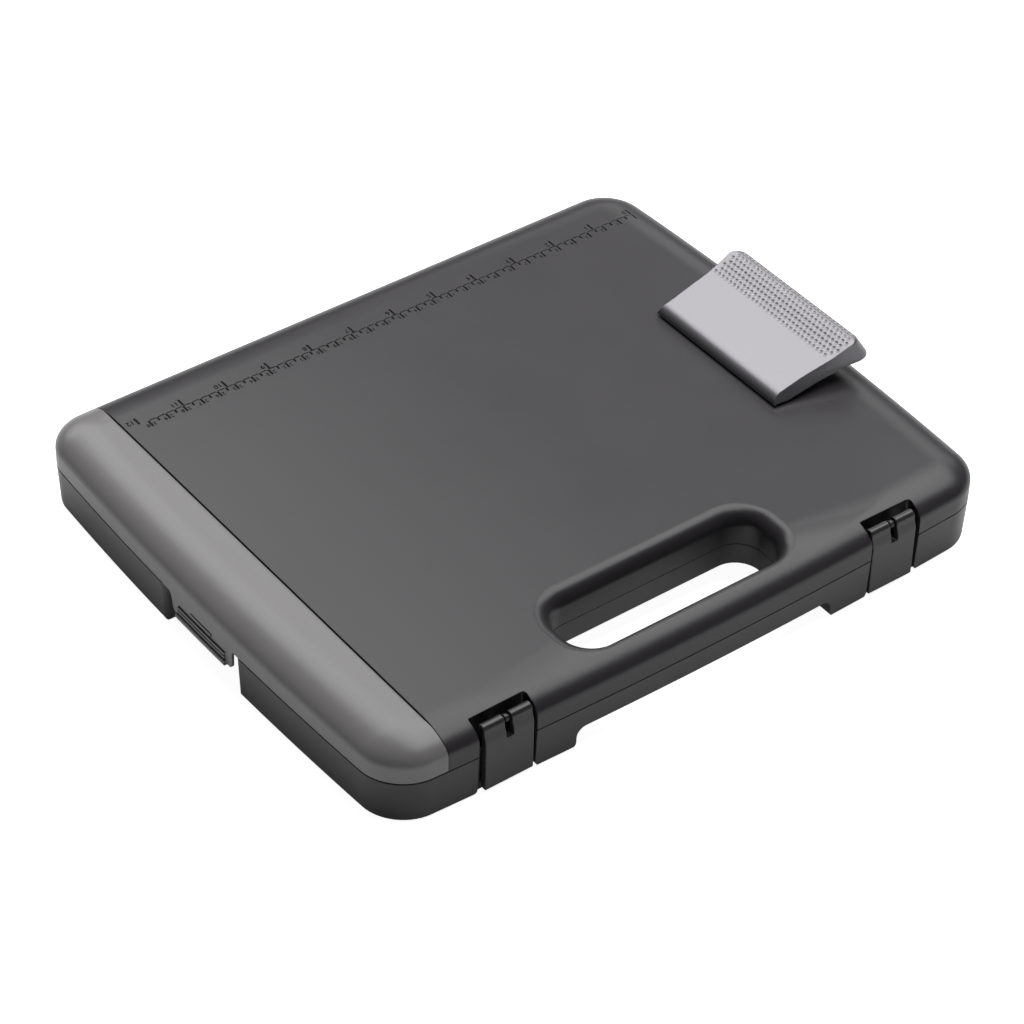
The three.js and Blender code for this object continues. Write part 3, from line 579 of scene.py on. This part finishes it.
def build_base():
    cavity = lower_form(WALL, PARTING_Z + 5, WALL)
    collar = loft([at_height(slot_outline(COLLAR), z) for z in (-1, FAR)])
    cut(cavity, [
        raised_form(RAISED_FLOOR, RAISED_X - WALL, -1),
        notch_slope(NOTCH_HALF + WALL, NOTCH_SLOPE_WALL, PARTING_Z + 6),
        *both(latch_room(RECESS_X - WALL, WALL + LATCH_EASE, -1), LATCH_Y),
        collar,
    ])
    partition = common(upper_form(WALL, WALL + 0.4, SKIN + 0.4), [
        box(-FAR, FAR, PARTITION_FRONT, PARTITION_BACK, WALL / 2, PARTITION_TOP)])
    base = cut(lower_form(0, PARTING_Z, 0, EDGE), [cavity])
    add(base, [partition])
    slot = loft([at_height(slot_outline(0), z) for z in (-1, FAR)])
    cut(base, [
        raised_form(0, RAISED_X, -1),
        slot,
        notch_room(), notch_edge(-1, 4.2), notch_edge(1, 1.2),
        *both(latch_room(RECESS_X, LATCH_EASE, -1, 3.5), LATCH_Y),
        *both(lambda y: box(142.6, RECESS_X + 1, y - 9, y + 9, 4.6, 9.6), LATCH_Y),
        *both(lambda y: knuckle(y, KNUCKLE_ROOM, KNUCKLE_GAP), HINGE_Y),
    ])
    add(base, [
        box(-12, 12, -179.7, -177, 20.6, 22.4),
        *[lid_lug(x) for x in (-LUG_SPACING, 0, LUG_SPACING)],
        *base_knuckles(KNUCKLE_RADIUS),
    ])
    return cut(base, [*both(hinge_bore, HINGE_Y),
                      rod_x(WIRE_RADIUS + RUN, LID_AXIS_Y, LID_AXIS_Z, -BEAD_HALF, BEAD_HALF)])


# ---------------------------------------------------------------- pen compartment lid


def end_wall_y(x):
    """Where the pen end's outer wall stands at this x."""
    u = (x - CENTRE_X) / HALF_X
    return -(HALF_LENGTH + END_BOW * (1 - u * u))


def end_wall(outset, x0, x1, z_low, z_high, depth=TAB_THICKNESS, edge=0.0):
    """A strip of the pen end's wall from x0 to x1, standing outset proud, with its outer edges rounded."""
    xs = np.linspace(x0, x1, 33)
    wall_y = end_wall_y(xs)
    profile = rounded_polygon([(-outset, z_low, edge), (depth, z_low, 0), (depth, z_high, 0),
                               (-outset, z_high, edge)], 4)
    rings = [np.column_stack([np.full(len(profile), x), y + profile[:, 0], profile[:, 1]])
             for x, y in zip(xs, wall_y)]
    return loft(rings)


def build_lid():
    shell = cut(upper_form(LID_Z, 0, 0, EDGE), [upper_form(LID_Z - 1, WALL, SKIN)])
    bead = common(rod_x(BEAD_RADIUS, LID_AXIS_Y, LID_AXIS_Z, -BEAD_HALF, BEAD_HALF), [
        box(-FAR, FAR, -FAR, FAR, 0, HEIGHT - 0.02)])
    add(shell, [bead])
    edge_y = LID_AXIS_Y + LID_EDGE
    angles = np.linspace(0, math.pi / 2, 13)
    profile = [(-FAR, -1), (edge_y, -1)]
    profile += [(LID_AXIS_Y + LID_EDGE * math.cos(a), LID_AXIS_Z + LID_EDGE * math.sin(a)) for a in angles]
    profile += [(LID_AXIS_Y, FAR), (-FAR, FAR)]
    common(shell, [prism("x", profile, -FAR, FAR)])
    rooms = []
    for x in (-LUG_SPACING, 0, LUG_SPACING):
        reach = LUG_WIDTH / 2 + 0.5
        rooms.append(rod_x(LUG_RADIUS + RUN, LID_AXIS_Y, LID_AXIS_Z, x - reach, x + reach))
        rooms.append(common(rod_x(3.2, LID_AXIS_Y, LID_AXIS_Z, x - reach, x + reach), [
            box(-FAR, FAR, -FAR, FAR, -1, LID_AXIS_Z + 0.8)]))
    cut(shell, [rod_x(WIRE_RADIUS + RUN, LID_AXIS_Y, LID_AXIS_Z, -BEAD_HALF - 1, BEAD_HALF + 1), *rooms])
    return add(shell, [build_tab()])


def build_tab():
    """The pull tab: a plate with grip ridges and a lip below, and grooves round a small panel above them."""
    root_z, bottom_z = LID_Z + 1.6, 13.4
    left, right = TAB_X - TAB_HALF, TAB_X + TAB_HALF
    outline = rounded_polygon([
        (left - 7, root_z, 0), (left - 7, LID_Z, 0), (left - 0.6, LID_Z, 3.2),
        (left + 1.2, bottom_z, 3.6), (right - 0.5, bottom_z, 2.2),
        (right, LID_Z, 1.6), (right + 6, LID_Z, 0), (right + 6, root_z, 0),
    ], 8)
    plate = common(end_wall(0, left - 7, right + 6, bottom_z - 0.4, root_z, edge=0.3), [
        prism("y", outline, -FAR, -HALF_LENGTH + 6)])
    grip, groove_depth = 19.8, 0.95
    ridges = [end_wall(0.8, TAB_X - grip, TAB_X + grip, low, high, 0.8, 0.3)
              for low, high in ((16.2, 17.5), (18.2, 19.6))]
    lip = end_wall(1.6, TAB_X - grip - 0.8, TAB_X + grip + 0.8, 12.6, 15.4, edge=0.8)
    snap = box(-10, 10, -181.8, -178.9, 17.6, 19.6)
    grooves = [end_wall(3, TAB_X - grip, TAB_X + grip, z, z + 0.8, groove_depth) for z in (15.4, 17.4, 19.5)]
    panel_left, panel_right, panel_top, panel_depth = TAB_X - 9.4, TAB_X + 8.8, 23.2, 1.1
    grooves.append(end_wall(3, panel_left, panel_right, panel_top - 1.1, panel_top, panel_depth))
    grooves.append(end_wall(3, panel_right - 1.2, panel_right, 20.8, panel_top - 0.4, panel_depth))
    return add(cut(plate, grooves), [lip, *ridges, snap])


# ---------------------------------------------------------------- latches


def latch_profile():
    angles = np.linspace(0.05, math.pi * 1.33, 26)
    hub = [(PIVOT_X + HUB_RADIUS * math.cos(a), PIVOT_Z + HUB_RADIUS * math.sin(a)) for a in angles]
    foot = [(PLATE_INNER_X, 32.6), (PLATE_INNER_X, PLATE_BOTTOM_Z + 0.5),
            (PLATE_INNER_X + 0.5, PLATE_BOTTOM_Z)]
    curve = bezier((PLATE_OUTER_X - 1.0, PLATE_BOTTOM_Z), (PLATE_OUTER_X - 0.2, PLATE_BOTTOM_Z),
                   (PLATE_OUTER_X, PLATE_BOTTOM_Z + 0.3), (PLATE_OUTER_X, PLATE_BOTTOM_Z + 1.2), 5)
    face = [(PLATE_OUTER_X, 10), (PLATE_OUTER_X, 20), (PLATE_OUTER_X, 29.5)]
    top = bezier((PLATE_OUTER_X, 29.5), (PLATE_OUTER_X, 32.6), (PIVOT_X + HUB_RADIUS + 0.1, 34.2),
                 (PIVOT_X + HUB_RADIUS, PIVOT_Z - 0.2), 8)
    foot.append((PLATE_OUTER_X - 1.0, PLATE_BOTTOM_Z))
    return hub + foot + [tuple(p) for p in curve] + face + [tuple(p) for p in top]


def build_latch(centre_y):
    half = LATCH_WIDTH / 2
    body = prism("y", latch_profile(), centre_y - half, centre_y + half, 0.45)
    hook = prism("y", [(PLATE_INNER_X + 0.5, 5), (PLATE_INNER_X + 0.5, 8.8), (144.2, 8.8), (144.2, 7.2),
                       (PLATE_INNER_X, 5)], centre_y - 8, centre_y + 8)
    add(body, [hook])
    slot = rounded_polygon([(centre_y - 2.2, 28.6, 0.9), (centre_y + 2.2, 28.6, 0.9),
                            (centre_y + 2.2, FAR, 0), (centre_y - 2.2, FAR, 0)])
    return cut(body, [prism("x", slot, 100, FAR), latch_pin_bore(centre_y, 60)])


# ---------------------------------------------------------------- clip


def thumb_rise(drop=0.0, steps=30):
    """The rising top of the lever from its straight part up to the crest."""
    return bezier((156, 56.55 - drop), (161.5, 57.9 - drop), (165, 59.7 - drop), (169, 60.9 - drop), steps)


def lever_crest(steps=12):
    return bezier((169, 60.9), (172.2, 61.9), (174.4, 62.3), (176, 60.4), steps)


def lever_back(y):
    """Height of the lever's top at distance y."""
    points = np.vstack([[(128.2, 49.5), (156, 56.55)], thumb_rise(), lever_crest()])
    return float(np.interp(y, points[:, 0], points[:, 1]))


def lever_rear():
    """The rear of the lever from its highest point down round the thumb edge, lowest point first."""
    crest = lever_crest()
    falling = crest[crest[:, 1].argmax():]
    edge = bezier((180.2, 53.0), (180.9, 51.6), (180.3, 51.2), (178.8, 51.2), 6)
    return np.vstack([falling, [(180.2, 53.0)], edge])[::-1]


def lever_profile():
    """The side profile; behind the crest it runs on past the rear, which the plan form shapes."""
    tip = (CLIP_FRONT + 0.2, CLIP_FRONT_Z + 1.2)
    points = [(CLIP_FRONT, CLIP_FRONT_Z), tip]
    points += [tuple(p) for p in bezier(tip, (CLIP_FRONT + 0.7, 47.4), (124.6, 48.6), (128.2, 49.5), 16)]
    points += [(y, lever_back(y)) for y in (135, 142, 149, 156)]
    points += [tuple(p) for p in thumb_rise(steps=16)]
    crest = lever_crest()
    highest = crest[:crest[:, 1].argmax() + 1]
    points += [tuple(p) for p in highest]
    points += [(190, highest[-1][1]), (190, 51.2), (178.8, 51.2), (165, 50.8), (146, 47.4), (129.2, 43.9)]
    points += [(129.2, PAD_TOP), (122.4, PAD_TOP), (122.4, CLIP_FRONT_Z)]
    return points[::-1]


def lever_hollow():
    points = [(130, 39), (130, 46.4)]
    points += [tuple(p) for p in bezier((130, 46.4), (130.4, 47.4), (131.4, 47.9), (133, 48.3), 5)]
    points += [(156, 54.15)]
    points += [tuple(p) for p in thumb_rise(SKIN, 12)]
    points += [(172.8, 58.4), (177.2, 52.2), (177.2, 39)]
    return points[::-1]


def lever_half(y, z):
    """Half the lever's width: wider to the rear, and drafted in from its underside to its top."""
    along_y = y - CLIP_FRONT
    under, rise = CLIP_FRONT_Z + 0.17 * along_y, 4.5 + 0.1 * along_y
    return 46.8 + 0.076 * along_y - 2.3 * (z - under) / rise


def lever_plan(inset):
    """The lever's plan as a solid; its rear corners stay rounded down the sloping rear face."""
    rear = lever_rear()
    heights = [36.0, 44.0, 48.0, *rear[:, 1], 66.0]
    rings = []
    for z in heights:
        back = float(np.interp(z, rear[:, 1], rear[:, 0])) - inset
        front = CLIP_FRONT - 2
        radius = 6.0 - inset
        corners = [(CLIP_X - lever_half(front, z) + inset, front, 0),
                   (CLIP_X + lever_half(front, z) - inset, front, 0),
                   (CLIP_X + lever_half(back, z) - inset, back, radius),
                   (CLIP_X - lever_half(back, z) + inset, back, radius)]
        rings.append(at_height(rounded_polygon(corners, 12), z))
    return loft(rings)


def dimples():
    """Staggered rows of shallow dished dimples over the thumb rest, as one cutter."""
    points, faces = [], []
    sphere, depth, above, around, levels = 1.9, 0.36, 0.16, 14, 4
    pitch, first_y, row_step, rows, margin = 2.95, 156.8, 2.77, 7, 2.9
    reach = math.acos(1 - (depth + above) / sphere)
    for row in range(rows):
        y = first_y + row * row_step
        slope = math.atan2(lever_back(y + 0.3) - lever_back(y - 0.3), 0.6)
        columns = 31 - row % 2
        for column in range(columns):
            x = CLIP_X + 0.5 + (column - (columns - 1) / 2) * pitch
            if abs(x - CLIP_X) > lever_half(y, lever_back(y)) - margin:
                continue
            first = len(points)
            for level in range(levels + 1):
                polar = level / levels * reach
                out, up = sphere * math.sin(polar), sphere * (1 - math.cos(polar)) - depth
                for k in range(around if level else 1):
                    angle = k / around * 2 * math.pi
                    along_y = out * math.sin(angle)
                    points.append((x + out * math.cos(angle),
                                   y + along_y * math.cos(slope) - up * math.sin(slope),
                                   lever_back(y) + along_y * math.sin(slope) + up * math.cos(slope)))
            for k in range(around):
                after = (k + 1) % around
                faces.append((first, first + 1 + after, first + 1 + k))
                for level in range(levels - 1):
                    a = first + 1 + level * around
                    faces.append((a + k, a + after, a + around + after, a + around + k))
            last = first + 1 + (levels - 1) * around
            faces.append(tuple(range(last, last + around)))
    return new_object("dimples", points, faces)


def build_clip():
    def form():
        return common(prism("x", lever_profile(), -60, 70), [lever_plan(0)])

    def ribs(bottom_z, top_z):
        return [box(CLIP_X + at - 1.5, CLIP_X + at + 1.5, 144.5, 155.5, bottom_z, top_z)
                for at in (-37.5, 37.5)]

    hollow = common(prism("x", lever_hollow(), -60, 70), [lever_plan(2.2)])
    clip = cut(form(), [hollow])
    add(clip, [common(rib, [form()]) for rib in ribs(50.5, 70)])
    add(clip, ribs(45.2, 51))
    reach = AXLE_HALF + 0.3
    return cut(clip, [rod_x(AXLE_RADIUS + RUN, AXLE_Y, AXLE_Z, CLIP_X - reach, CLIP_X + reach)])


# ---------------------------------------------------------------- ruler


def numeral(text, size, centre_x, centre_y):
    """A number cut into the board, read from the ruler's side of the case."""
    curve = bpy.data.curves.new("numeral", "FONT")
    curve.body = text
    curve.size = size
    curve.align_x = "CENTER"
    curve.align_y = "CENTER"
    curve.extrude = NUMERAL_HALF
    curve.resolution_u = 3
    obj = bpy.data.objects.new("numeral", curve)
    bpy.context.scene.collection.objects.link(obj)
    bpy.context.view_layer.update()
    mesh = bpy.data.meshes.new_from_object(obj.evaluated_get(bpy.context.evaluated_depsgraph_get()))
    bpy.data.objects.remove(obj)
    bpy.data.curves.remove(curve)
    centre_z = cover_height(centre_x, centre_y) + NUMERAL_HALF - MARK_DEPTH
    mesh.transform(Matrix.Translation((centre_x, centre_y, centre_z)) @ Matrix.Rotation(-math.pi / 2, 4, "Z"))
    return mesh


def ruler_cutter():
    """Every tick and numeral of the ruler as one mesh."""
    work = bmesh.new()

    def tick(x0, x1, y, width):
        bottom, top = cover_height((x0 + x1) / 2, y) - MARK_DEPTH, HEIGHT + 1
        matrix = Matrix.Translation(((x0 + x1) / 2, y, (top + bottom) / 2))
        matrix = matrix @ Matrix.Diagonal((x1 - x0, width, top - bottom, 1))
        bmesh.ops.create_cube(work, size=1, matrix=matrix)

    for inch in range(13):
        tick(RULER_X - INCH_TICK, RULER_X - MARK_GAP, RULER_ZERO_Y - inch * INCH, 1.05)
    for half_cm in range(61):
        length = HALF_CM_TICK if half_cm % 2 else CM_TICK
        tick(RULER_X + MARK_GAP, RULER_X + length, RULER_ZERO_Y - half_cm * 5, 1.0)
    for half_cm in range(60):
        tick(RULER_X - 0.25, RULER_X + 0.25, RULER_ZERO_Y - half_cm * 5 - 2.5, 3.6)
    for inch in range(13):
        y = RULER_ZERO_Y - inch * INCH - (3.5 if inch > 9 else 2.5)
        work.from_mesh(numeral(str(inch), 4.4, RULER_X - 3.3, y))
    for cm in range(1, 31):
        y = RULER_ZERO_Y - cm * 10
        digits = str(cm)
        places = [-1.95] if len(digits) == 1 else [1.9, -1.9]
        for digit, offset in zip(digits, places):
            work.from_mesh(numeral(digit, 3.5, RULER_X + 3.2, y + offset))
    bmesh.ops.remove_doubles(work, verts=work.verts, dist=1e-4)
    mesh = bpy.data.meshes.new("ruler")
    work.to_mesh(mesh)
    work.free()
    obj = bpy.data.objects.new("ruler", mesh)
    bpy.context.scene.collection.objects.link(obj)
    return obj


def darken_ruler(mesh):
    """Makes the inside of the ruler's marks dark; called once the mesh is in metres."""
    mesh.materials.append(ruler_mark_black)
    for face in mesh.polygons:
        x, y, z = face.center / MM
        if abs(x - RULER_X) < 7 and z > HEIGHT - 2:
            sunk = cover_height(x, y) - z
            if MARK_DEPTH / 3 < sunk < 2 * MARK_DEPTH:
                face.material_index = 1


# ---------------------------------------------------------------- materials


class Shader:
    """A small helper that wires one material's nodes."""

    def __init__(self, name):
        self.material = bpy.data.materials.new(name)
        self.material.use_nodes = True
        self.tree = self.material.node_tree
        self.surface = self.tree.nodes["Principled BSDF"]
        self.place = self.node("ShaderNodeTexCoord").outputs["Object"]

    def node(self, kind, **settings):
        node = self.tree.nodes.new(kind)
        for key, value in settings.items():
            if key in node.inputs.keys():
                node.inputs[key].default_value = value
            else:
                setattr(node, key, value)
        return node

    def link(self, output, target):
        self.tree.links.new(output, target)

    def noise(self, scale, detail=2.0, roughness=0.5, stretch=None):
        texture = self.node("ShaderNodeTexNoise", Scale=scale, Detail=detail, Roughness=roughness)
        place = self.place
        if stretch:
            mapping = self.node("ShaderNodeMapping", Scale=stretch)
            self.link(place, mapping.inputs["Vector"])
            place = mapping.outputs["Vector"]
        self.link(place, texture.inputs["Vector"])
        return texture.outputs["Fac"]

    def spread(self, value, low, high, to_low, to_high):
        mapper = self.node("ShaderNodeMapRange")
        for key, number in (("From Min", low), ("From Max", high), ("To Min", to_low), ("To Max", to_high)):
            mapper.inputs[key].default_value = number
        self.link(value, mapper.inputs["Value"])
        return mapper.outputs["Result"]

    def mix(self, factor, first, second):
        mixer = self.node("ShaderNodeMix", data_type="RGBA")
        self.link(factor, mixer.inputs["Factor"])
        for value, socket in ((first, mixer.inputs[6]), (second, mixer.inputs[7])):
            if isinstance(value, tuple):
                socket.default_value = (*value, 1)
            else:
                self.link(value, socket)
        return mixer.outputs[2]

    def math(self, operation, first, second):
        node = self.node("ShaderNodeMath", operation=operation)
        for value, socket in ((first, node.inputs[0]), (second, node.inputs[1])):
            if isinstance(value, (int, float)):
                socket.default_value = value
            else:
                self.link(value, socket)
        return node.outputs[0]

    def bump(self, height, strength, distance, normal=None):
        node = self.node("ShaderNodeBump", Strength=strength, Distance=distance)
        self.link(height, node.inputs["Height"])
        if normal:
            self.link(normal, node.inputs["Normal"])
        return node.outputs["Normal"]

    def edges(self, radius):
        """The softened normal at sharp edges, and a mask that is 1 on those edges."""
        bevel = self.node("ShaderNodeBevel", samples=6, Radius=radius)
        geometry = self.node("ShaderNodeNewGeometry")
        dot = self.node("ShaderNodeVectorMath", operation="DOT_PRODUCT")
        self.link(bevel.outputs["Normal"], dot.inputs[0])
        self.link(geometry.outputs["Normal"], dot.inputs[1])
        return bevel.outputs["Normal"], self.spread(dot.outputs["Value"], 0.99, 0.86, 0.0, 1.0)


def scaled(colour, factor):
    return tuple(min(c * factor, 1.0) for c in colour)


def moulded_plastic(name, colour, roughness, grain=1.0, grain_size=0.55, edge_wear_and_highlight=1.5, edge=0.4, specular=0.5,
                    metallic=0.0):
    """Moulded plastic: fine grain, faint flow mottling, and paler edges, partly wear from handling and partly
    a painted highlight.

    The sixth argument is how much paler the edges are, partly as wear and partly as a painted highlight;
    metallic gives a light plastic a satin sheen.
    """
    s = Shader(name)
    mottle = s.noise(26, 4, 0.6)
    flow = s.noise(7, 3, 0.5, (1, 2.2, 1))
    speckle = s.noise(1100 / grain_size, 2, 0.7)
    shade = s.mix(s.spread(mottle, 0.3, 0.7, 0, 1), scaled(colour, 0.97), scaled(colour, 1.03))
    shade = s.mix(s.spread(speckle, 0.35, 0.75, 0, 0.5), shade, scaled(colour, 1.22))
    smooth_normal, edge_mask = s.edges(edge * MM)
    # Edge paleness: partly wear from handling, partly a painted highlight along the edges; the edges are also
    # a little glossier.
    scuff_and_highlight = s.math("MULTIPLY", edge_mask, s.spread(s.noise(420, 3, 0.6), 0.35, 0.65, 0.35, 1))
    shade = s.mix(scuff_and_highlight, shade, scaled(colour, edge_wear_and_highlight))
    s.link(shade, s.surface.inputs["Base Color"])
    rough = s.math("ADD", s.spread(mottle, 0.3, 0.7, roughness - 0.012, roughness + 0.012),
                   s.spread(flow, 0.3, 0.7, -0.01, 0.01))
    rough = s.math("SUBTRACT", rough, s.math("MULTIPLY", scuff_and_highlight, 0.08))
    s.link(rough, s.surface.inputs["Roughness"])
    s.surface.inputs["Specular IOR Level"].default_value = specular
    s.surface.inputs["Metallic"].default_value = metallic
    pits = s.noise(1500 / grain_size, 3, 0.65)
    normal = s.bump(pits, 0.18 * grain, 0.04 * MM, smooth_normal)
    normal = s.bump(flow, 0.03, 0.1 * MM, normal)
    s.link(normal, s.surface.inputs["Normal"])
    return s.material


def plated_steel(name, colour, roughness, stretch):
    """Zinc-plated steel with drawing lines and faint spangle."""
    s = Shader(name)
    lines = s.noise(900, 3, 0.6, stretch)
    spangle = s.node("ShaderNodeTexVoronoi", Scale=420.0)
    s.link(s.place, spangle.inputs["Vector"])
    shade = s.mix(s.spread(lines, 0.3, 0.7, 0, 1), scaled(colour, 0.82), scaled(colour, 1.1))
    shade = s.mix(s.spread(spangle.outputs["Distance"], 0, 0.8, 0, 0.35), shade, scaled(colour, 0.7))
    smooth_normal, edge_mask = s.edges(0.15 * MM)
    shade = s.mix(s.math("MULTIPLY", edge_mask, 0.5), shade, scaled(colour, 1.35))
    s.link(shade, s.surface.inputs["Base Color"])
    s.surface.inputs["Metallic"].default_value = 1.0
    s.link(s.spread(lines, 0.3, 0.7, roughness - 0.06, roughness + 0.08), s.surface.inputs["Roughness"])
    s.link(s.bump(lines, 0.25, 0.02 * MM, smooth_normal), s.surface.inputs["Normal"])
    return s.material


def soft_rubber(name, colour):
    s = Shader(name)
    dust = s.noise(160, 4, 0.7)
    shade = s.mix(s.spread(dust, 0.45, 0.8, 0, 0.6), colour, scaled(colour, 2.2))
    s.link(shade, s.surface.inputs["Base Color"])
    s.link(s.spread(dust, 0.3, 0.7, 0.78, 0.92), s.surface.inputs["Roughness"])
    ribs = s.node("ShaderNodeTexWave", Scale=160.0, bands_direction="X")
    s.link(s.place, ribs.inputs["Vector"])
    s.link(s.bump(ribs.outputs["Fac"], 0.4, 0.08 * MM), s.surface.inputs["Normal"])
    return s.material


# ---------------------------------------------------------------- finishing


def smooth(mesh, degrees):
    mesh.shade_smooth()
    mesh.set_sharp_from_angle(angle=math.radians(degrees))


def finish_piece(obj, name, body, replaced, material, degrees=32):
    obj.name = name
    obj.data.name = name
    obj.data.transform(Matrix.Scale(MM, 4))
    obj.data.materials.clear()
    obj.data.materials.append(material)
    smooth(obj.data, degrees)
    weighted = obj.modifiers.new("normals", "WEIGHTED_NORMAL")
    weighted.keep_sharp = True
    weighted.weight = 80
    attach(obj, body)
    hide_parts(replaced)
    return obj


# The sixth argument pales each material's edges: partly handling wear, partly a painted highlight, strongest
# on the cover, latches and clip.
cover_plastic = moulded_plastic("cover_plastic", (0.037, 0.0335, 0.0375), 0.32, 1.0, 0.6, 2.2, 0.5)
base_plastic = moulded_plastic("base_plastic", (0.043, 0.0415, 0.042), 0.32, 0.5, 0.45, 1.5, 0.4)
latch_plastic = moulded_plastic("latch_plastic", (0.043, 0.0415, 0.042), 0.2, 0.4, 0.45, 2.2, 0.5)
lid_plastic = moulded_plastic("lid_plastic", (0.24, 0.231, 0.234), 0.3, 0.5, 0.5, 1.7, 0.35)
clip_plastic = moulded_plastic("clip_plastic", (0.25, 0.242, 0.258), 0.36, 0.4, 0.45, 2.2, 0.6, metallic=0.6)
# The inside of the ruler's marks gets a near-black colour of its own, much darker than the board.
ruler_mark_black = moulded_plastic("ruler_groove", (0.007, 0.0066, 0.0075), 0.7, 0.3, 0.3, 1.0, 0.1, 0.2)
steel_rods = plated_steel("steel_rods", (0.56, 0.57, 0.58), 0.3, (0.05, 1, 1))
steel_sheet = plated_steel("steel_sheet", (0.5, 0.51, 0.52), 0.36, (1, 0.06, 1))
black_steel = plated_steel("black_steel", (0.05, 0.05, 0.052), 0.4, (1, 0.05, 1))
pad_rubber = soft_rubber("pad_rubber", (0.012, 0.012, 0.013))

cover = cut(build_cover(), [ruler_cutter()])
finish_piece(cover, "cover_board", "cover", "cover_shell", cover_plastic)
darken_ruler(cover.data)
base = build_base()
finish_piece(base, "case_base", "base", "base_tray", base_plastic)
lid = build_lid()
finish_piece(lid, "pen_lid", "pen_lid", "compartment_lid", lid_plastic)
for end, sign in (("pen_end", -1), ("clip_end", 1)):
    piece = build_latch(sign * LATCH_Y)
    finish_piece(piece, f"flip_latch_{end}", f"{end}_latch", f"latch_{end}", latch_plastic)
clip = cut(build_clip(), [dimples()])
finish_piece(clip, "clip_body", "clip", "clip_lever", clip_plastic)

CAD_MATERIALS = {
    "compartment_hinge_wire": steel_rods, "hinge_pin_pen_end": steel_rods, "hinge_pin_clip_end": steel_rods,
    "latch_pin_pen_end": black_steel, "latch_pin_clip_end": black_steel, "clip_axle": steel_rods,
    "clip_spring_left": steel_rods, "clip_spring_right": steel_rods,
    "clip_bracket": steel_sheet, "clip_rivet_left": steel_sheet, "clip_rivet_right": steel_sheet,
    "rivet_washer_left": steel_sheet, "rivet_washer_right": steel_sheet, "clip_jaw_pad": pad_rubber,
}
for node, material in CAD_MATERIALS.items():
    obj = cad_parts[node]
    obj.data.materials.clear()
    obj.data.materials.append(material)
    smooth(obj.data, 35)

# ---------------------------------------------------------------- studio


def floor():
    """A pale floor; it glows a little, and most of that glow is seen by the camera alone."""
    size = 12.0
    corners = [(-size, -size, 0), (size, -size, 0), (size, size, 0), (-size, size, 0)]
    obj = new_object("floor", corners, [(0, 1, 2, 3)])
    obj.location.z = -0.3 * MM
    s = Shader("studio_floor")
    s.surface.inputs["Base Color"].default_value = (0.86, 0.86, 0.86, 1)
    s.surface.inputs["Roughness"].default_value = 0.9
    s.surface.inputs["Specular IOR Level"].default_value = 0.1
    s.surface.inputs["Emission Color"].default_value = (1, 1, 1, 1)
    seen = s.node("ShaderNodeLightPath").outputs["Is Camera Ray"]
    s.link(s.math("ADD", s.math("MULTIPLY", seen, 0.8), 0.15), s.surface.inputs["Emission Strength"])
    obj.data.materials.append(s.material)


def ceiling_softbox(name, x0, x1, y0, y1, height, radiance):
    """A soft box lying level over the table, its corners given in heights above it."""
    lamp = bpy.data.lights.new(name, "AREA")
    lamp.shape = "RECTANGLE"
    lamp.size, lamp.size_y = (x1 - x0) * height, (y1 - y0) * height
    lamp.energy = radiance * math.pi * lamp.size * lamp.size_y
    obj = bpy.data.objects.new(name, lamp)
    obj.location = ((x0 + x1) / 2 * height, (y0 + y1) / 2 * height, height)
    obj.visible_camera = False
    bpy.context.scene.collection.objects.link(obj)


def studio_world():
    """White where the camera sees it, and almost dark as a source of light."""
    world = bpy.data.worlds.new("studio")
    bpy.context.scene.world = world
    world.use_nodes = True
    nodes, links = world.node_tree.nodes, world.node_tree.links
    dim = nodes["Background"]
    dim.inputs["Color"].default_value = (0.9, 0.95, 1.0, 1)
    dim.inputs["Strength"].default_value = 0.03
    seen = nodes.new("ShaderNodeBackground")
    seen.inputs["Color"].default_value = (1, 1, 1, 1)
    seen.inputs["Strength"].default_value = 1.0
    path = nodes.new("ShaderNodeLightPath")
    mixer = nodes.new("ShaderNodeMixShader")
    links.new(path.outputs["Is Camera Ray"], mixer.inputs[0])
    links.new(dim.outputs[0], mixer.inputs[1])
    links.new(seen.outputs[0], mixer.inputs[2])
    links.new(mixer.outputs[0], nodes["World Output"].inputs["Surface"])


def camera():
    data = bpy.data.cameras.new("camera")
    data.sensor_width = 36.0
    data.lens = 125.15
    data.clip_start, data.clip_end = 0.1, 50
    obj = bpy.data.objects.new("camera", data)
    bpy.context.scene.collection.objects.link(obj)
    eye = Vector((1.0592, -0.8156, 1.1368))
    target = Vector((-0.0008, -0.0005, 0.0))
    roll = math.radians(1.288)
    back = (eye - target).normalized()
    right = Vector((0, 0, 1)).cross(back).normalized()
    up = back.cross(right)
    right, up = right * math.cos(roll) + up * math.sin(roll), up * math.cos(roll) - right * math.sin(roll)
    matrix = Matrix((right, up, back)).transposed().to_4x4()
    matrix.translation = eye
    obj.matrix_world = matrix
    bpy.context.scene.camera = obj


floor()
studio_world()
ceiling_softbox("overhead", -0.5, 0.35, 0.0, 1.1, 1.8, 3.5)
ceiling_softbox("hinge_side", -1.2, -0.5, -0.1, 0.6, 1.8, 3.5)
ceiling_softbox("behind", -2.6, -0.5, 1.1, 2.4, 1.8, 1.8)
ceiling_softbox("low_side", -2.6, -1.2, -0.35, 0.5, 1.8, 3.0)
camera()
bpy.context.scene.view_settings.view_transform = "Standard"
